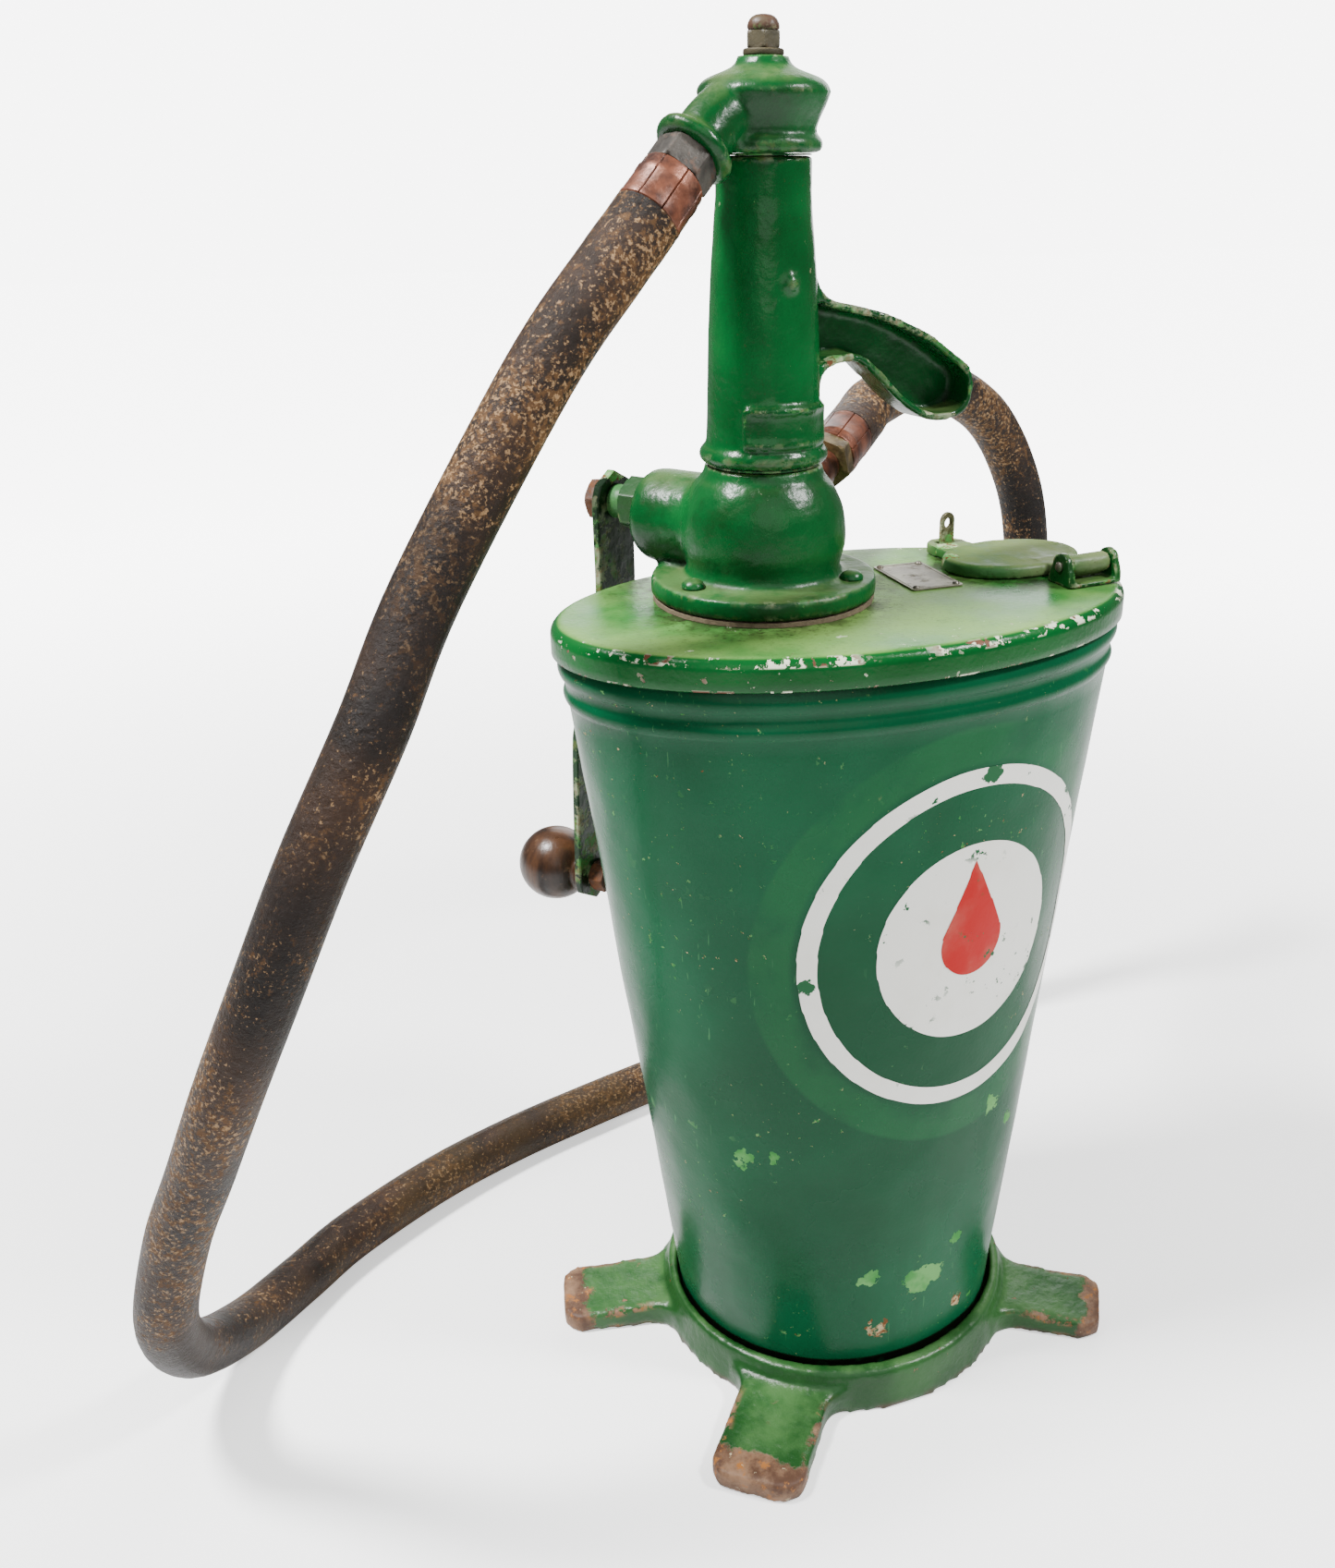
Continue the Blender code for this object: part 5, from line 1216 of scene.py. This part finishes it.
# ---------------------------------------------------------------- filler cap, hinge, staple, plate
def build_filler():
    into = HINGE_FRAME.inverted()
    middle = into @ lifted(FILLER, HINGE.z)
    place = HINGE_FRAME @ Matrix.Translation((middle.x, middle.y, 0.0))
    low = 0.5037 - HINGE.z
    high = 0.5110 - HINGE.z
    rows = []
    for inset_by, z in ((0.0, low), (-0.0002, low + 0.002), (0.0004, high - 0.0020), (0.0010, high - 0.0008),
                        (0.0024, high), (0.0050, high + 0.0001), (0.0068, high - 0.0004), (0.0120, high - 0.0006),
                        (0.0200, high - 0.0003), (0.0290, high)):
        rows.append((0.0455 - inset_by, 0.0325 - inset_by, z))
    staple = into @ lifted(STAPLE, HINGE.z)
    hasp_at = HINGE_FRAME @ Matrix.Translation((staple.x, staple.y - 0.0025, 0.0))
    hasp = extruded(stadium(0.0135, -0.018, 0.0), low, low + 0.006, hasp_at)
    tongue = extruded([(-0.0115, 0.0), (0.0115, 0.0), (0.0135, 0.033), (-0.0135, 0.033)], -0.0080, -0.0033, HINGE_FRAME)
    across = frame_at(HINGE, direction(HINGE_AZIMUTH), (0, 0, 1))
    barrel = turned([(0.0029, -0.0138), (0.0056, -0.0138), (0.0060, -0.0132), (0.0060, 0.0132), (0.0056, 0.0138),
                     (0.0029, 0.0138)], across, 48, ringed=True)
    paint = enamel(
        "green_cap", (0.020, 0.090, 0.018), (0.190, 0.210, 0.100), 0.40, dust=0.55, wear=1.0, soot=0.25, chips=0.5,
        spots=(((0.0820, 0.0300, 0.5110), 0.006), ((0.0930, 0.0560, 0.5090), 0.008)),
    )
    cap = piece("cap_casting", [ovals(rows, place, 128), hasp, tongue, barrel], "cap", ["filler_cap"], paint)
    turn = Matrix.Rotation(math.radians(STAPLE_AZIMUTH - HINGE_AZIMUTH), 4, "Z")
    slot_at = HINGE_FRAME @ Matrix.Translation((staple.x, staple.y, 0.0)) @ turn
    slot = [(x, y + 0.0012) for x, y in rounded_box(0.0069, 0.00305, 0.0012, 4)]
    soften(cap, 0.0014, 1)
    cut_with(cap, [
        extruded(slot, low - 0.005, low + 0.012, slot_at),
        turned([(0.0, low - 0.004), (0.0302, low - 0.004), (0.0302, 0.5070 - HINGE.z), (0.0, 0.5070 - HINGE.z)],
               place, 72),
    ])
    cap.data.shade_smooth()
    cap.data.set_sharp_from_angle(angle=math.radians(55))

    base_z = LID_TOP + 0.0003 - HINGE.z
    ear = [(0.0112, base_z), (0.0100, -0.0040), (0.0084, -0.0005)]
    ear += arc((0.0, 0.0), 0.0078, 0, 180, 20)
    ear += [(-0.0084, -0.0005), (-0.0100, -0.0040), (-0.0112, base_z)]
    shapes = [extruded(rounded_box(0.0190, 0.0112, 0.002), base_z, base_z + 0.0025, HINGE_FRAME)]
    for ends in ((-0.0190, -0.0145), (0.0145, 0.0190)):
        shapes.append(extruded(ear, ends[0], ends[1], across))
    ears = enamel("green_hinge", (0.001, 0.030, 0.004), (0.010, 0.10, 0.018), 0.25, dust=0.3, wear=1.0, soot=0.6, chips=0.7)
    bracket = piece("hinge_casting", shapes, "stand", ["hinge_bracket"], ears)
    soften(bracket, 0.0012, 1)
    pin = [(0.0, -0.0210), (0.0022, -0.0208), (0.0030, -0.0200), (0.0030, -0.0192), (0.0025, -0.0190), (0.0025, 0.0190),
           (0.0030, 0.0192), (0.0030, 0.0200), (0.0022, 0.0208), (0.0, 0.0210)]
    piece("hinge_pin_bar", [turned(pin, across, 32)], "stand", ["hinge_pin"], STEEL)

    up_z = LID_TOP + 0.0003
    tab_frame = frame_at(STAPLE, direction(STAPLE_AZIMUTH - 90), (0, 0, 1))
    tab = [(0.00575, up_z)] + arc((0.0, LID_TOP + 0.0199), 0.00575, 0, 180, 24) + [(-0.00575, up_z)]
    brown = enamel("staple_paint", (0.030, 0.022, 0.010), (0.080, 0.085, 0.030), 0.50, wear=1.0, soot=0.5, chips=0.8)
    staple_tab = piece("staple_strip", [extruded(tab, -0.00125, 0.00125, tab_frame)], "stand", ["staple_tab"], brown)
    eye = frame_at(lifted(STAPLE, LID_TOP + 0.0190), direction(STAPLE_AZIMUTH - 90), (0, 0, 1))
    cut_with(staple_tab, [turned([(0.0, -0.01), (0.0030, -0.01), (0.0030, 0.01), (0.0, 0.01)], eye, 40)])
    bevelled(staple_tab, 0.0004, 2)


def build_plate():
    low = LID_TOP + 0.0003
    place = frame_at(PLATE)
    p = Paint("plate_metal", 0.45, 0.55)
    tone = p.mix(p.step(p.noise(40.0, 5.0), 0.35, 0.65), (0.12, 0.11, 0.08), (0.26, 0.25, 0.18))
    grime = p.step(p.noise(120.0, 6.0, 0.7), 0.50, 0.66)
    tone = p.mix(p.times(grime, 0.7), tone, (0.09, 0.075, 0.045))
    p.colour(tone)
    p.rough(p.math("ADD", p.times(grime, 0.3), 0.38))
    p.bump((p.noise(500.0, 3.0), 0.00015))
    shapes = [extruded(rounded_box(0.0165, 0.0275, 0.002), low, low + 0.0008, place)]
    outer = rounded_box(0.0150, 0.0260, 0.0015)
    inner = rounded_box(0.0142, 0.0252, 0.0012)
    shapes.append(walled(outer, inner, low + 0.0004, low + 0.0010, place))
    plate = piece("blank_plate", shapes, "stand", ["data_plate"], p.done(), smooth=30.0)
    number = 0
    for sx in (-1, 1):
        for sy in (-1, 1):
            number += 1
            spot = frame_at(PLATE + Vector((sx * 0.013, sy * 0.024, 0)))
            top = low + 0.0012
            head = [(0.0, low + 0.0006), (0.0021, low + 0.0006), (0.0021, top), (0.0016, top + 0.0007),
                    (0.0008, top + 0.0010), (0.0, top + 0.0011)]
            piece(f"plate_dome_{number}", [turned(head, spot, 24)], "stand", [f"plate_rivet_{number}"], STEEL)


def finish_frame():
    """Materials for the CAD pieces that stay as they are."""
    finishes = {
        "fibre": FIBRE,
        "green": CAST,
        "brass": BRASS,
        "steel": STEEL,
    }
    for name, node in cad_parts.items():
        if node.hide_render:
            continue
        kind = "steel"
        if "packing" in name or "seal" in name or name == "pump_gasket":
            kind = "fibre"
        if name in ("column_gasket", "head_gasket"):
            kind = "green"
        if "bush" in name or "strainer" in name:
            kind = "brass"
        node.data.materials.clear()
        node.data.materials.append(finishes[kind])


build_stage()
build_hose()
build_base()
build_tank()
build_lid()
build_sign()
build_pump()
build_column()
build_head()
build_crank()
build_filler()
build_plate()
finish_frame()
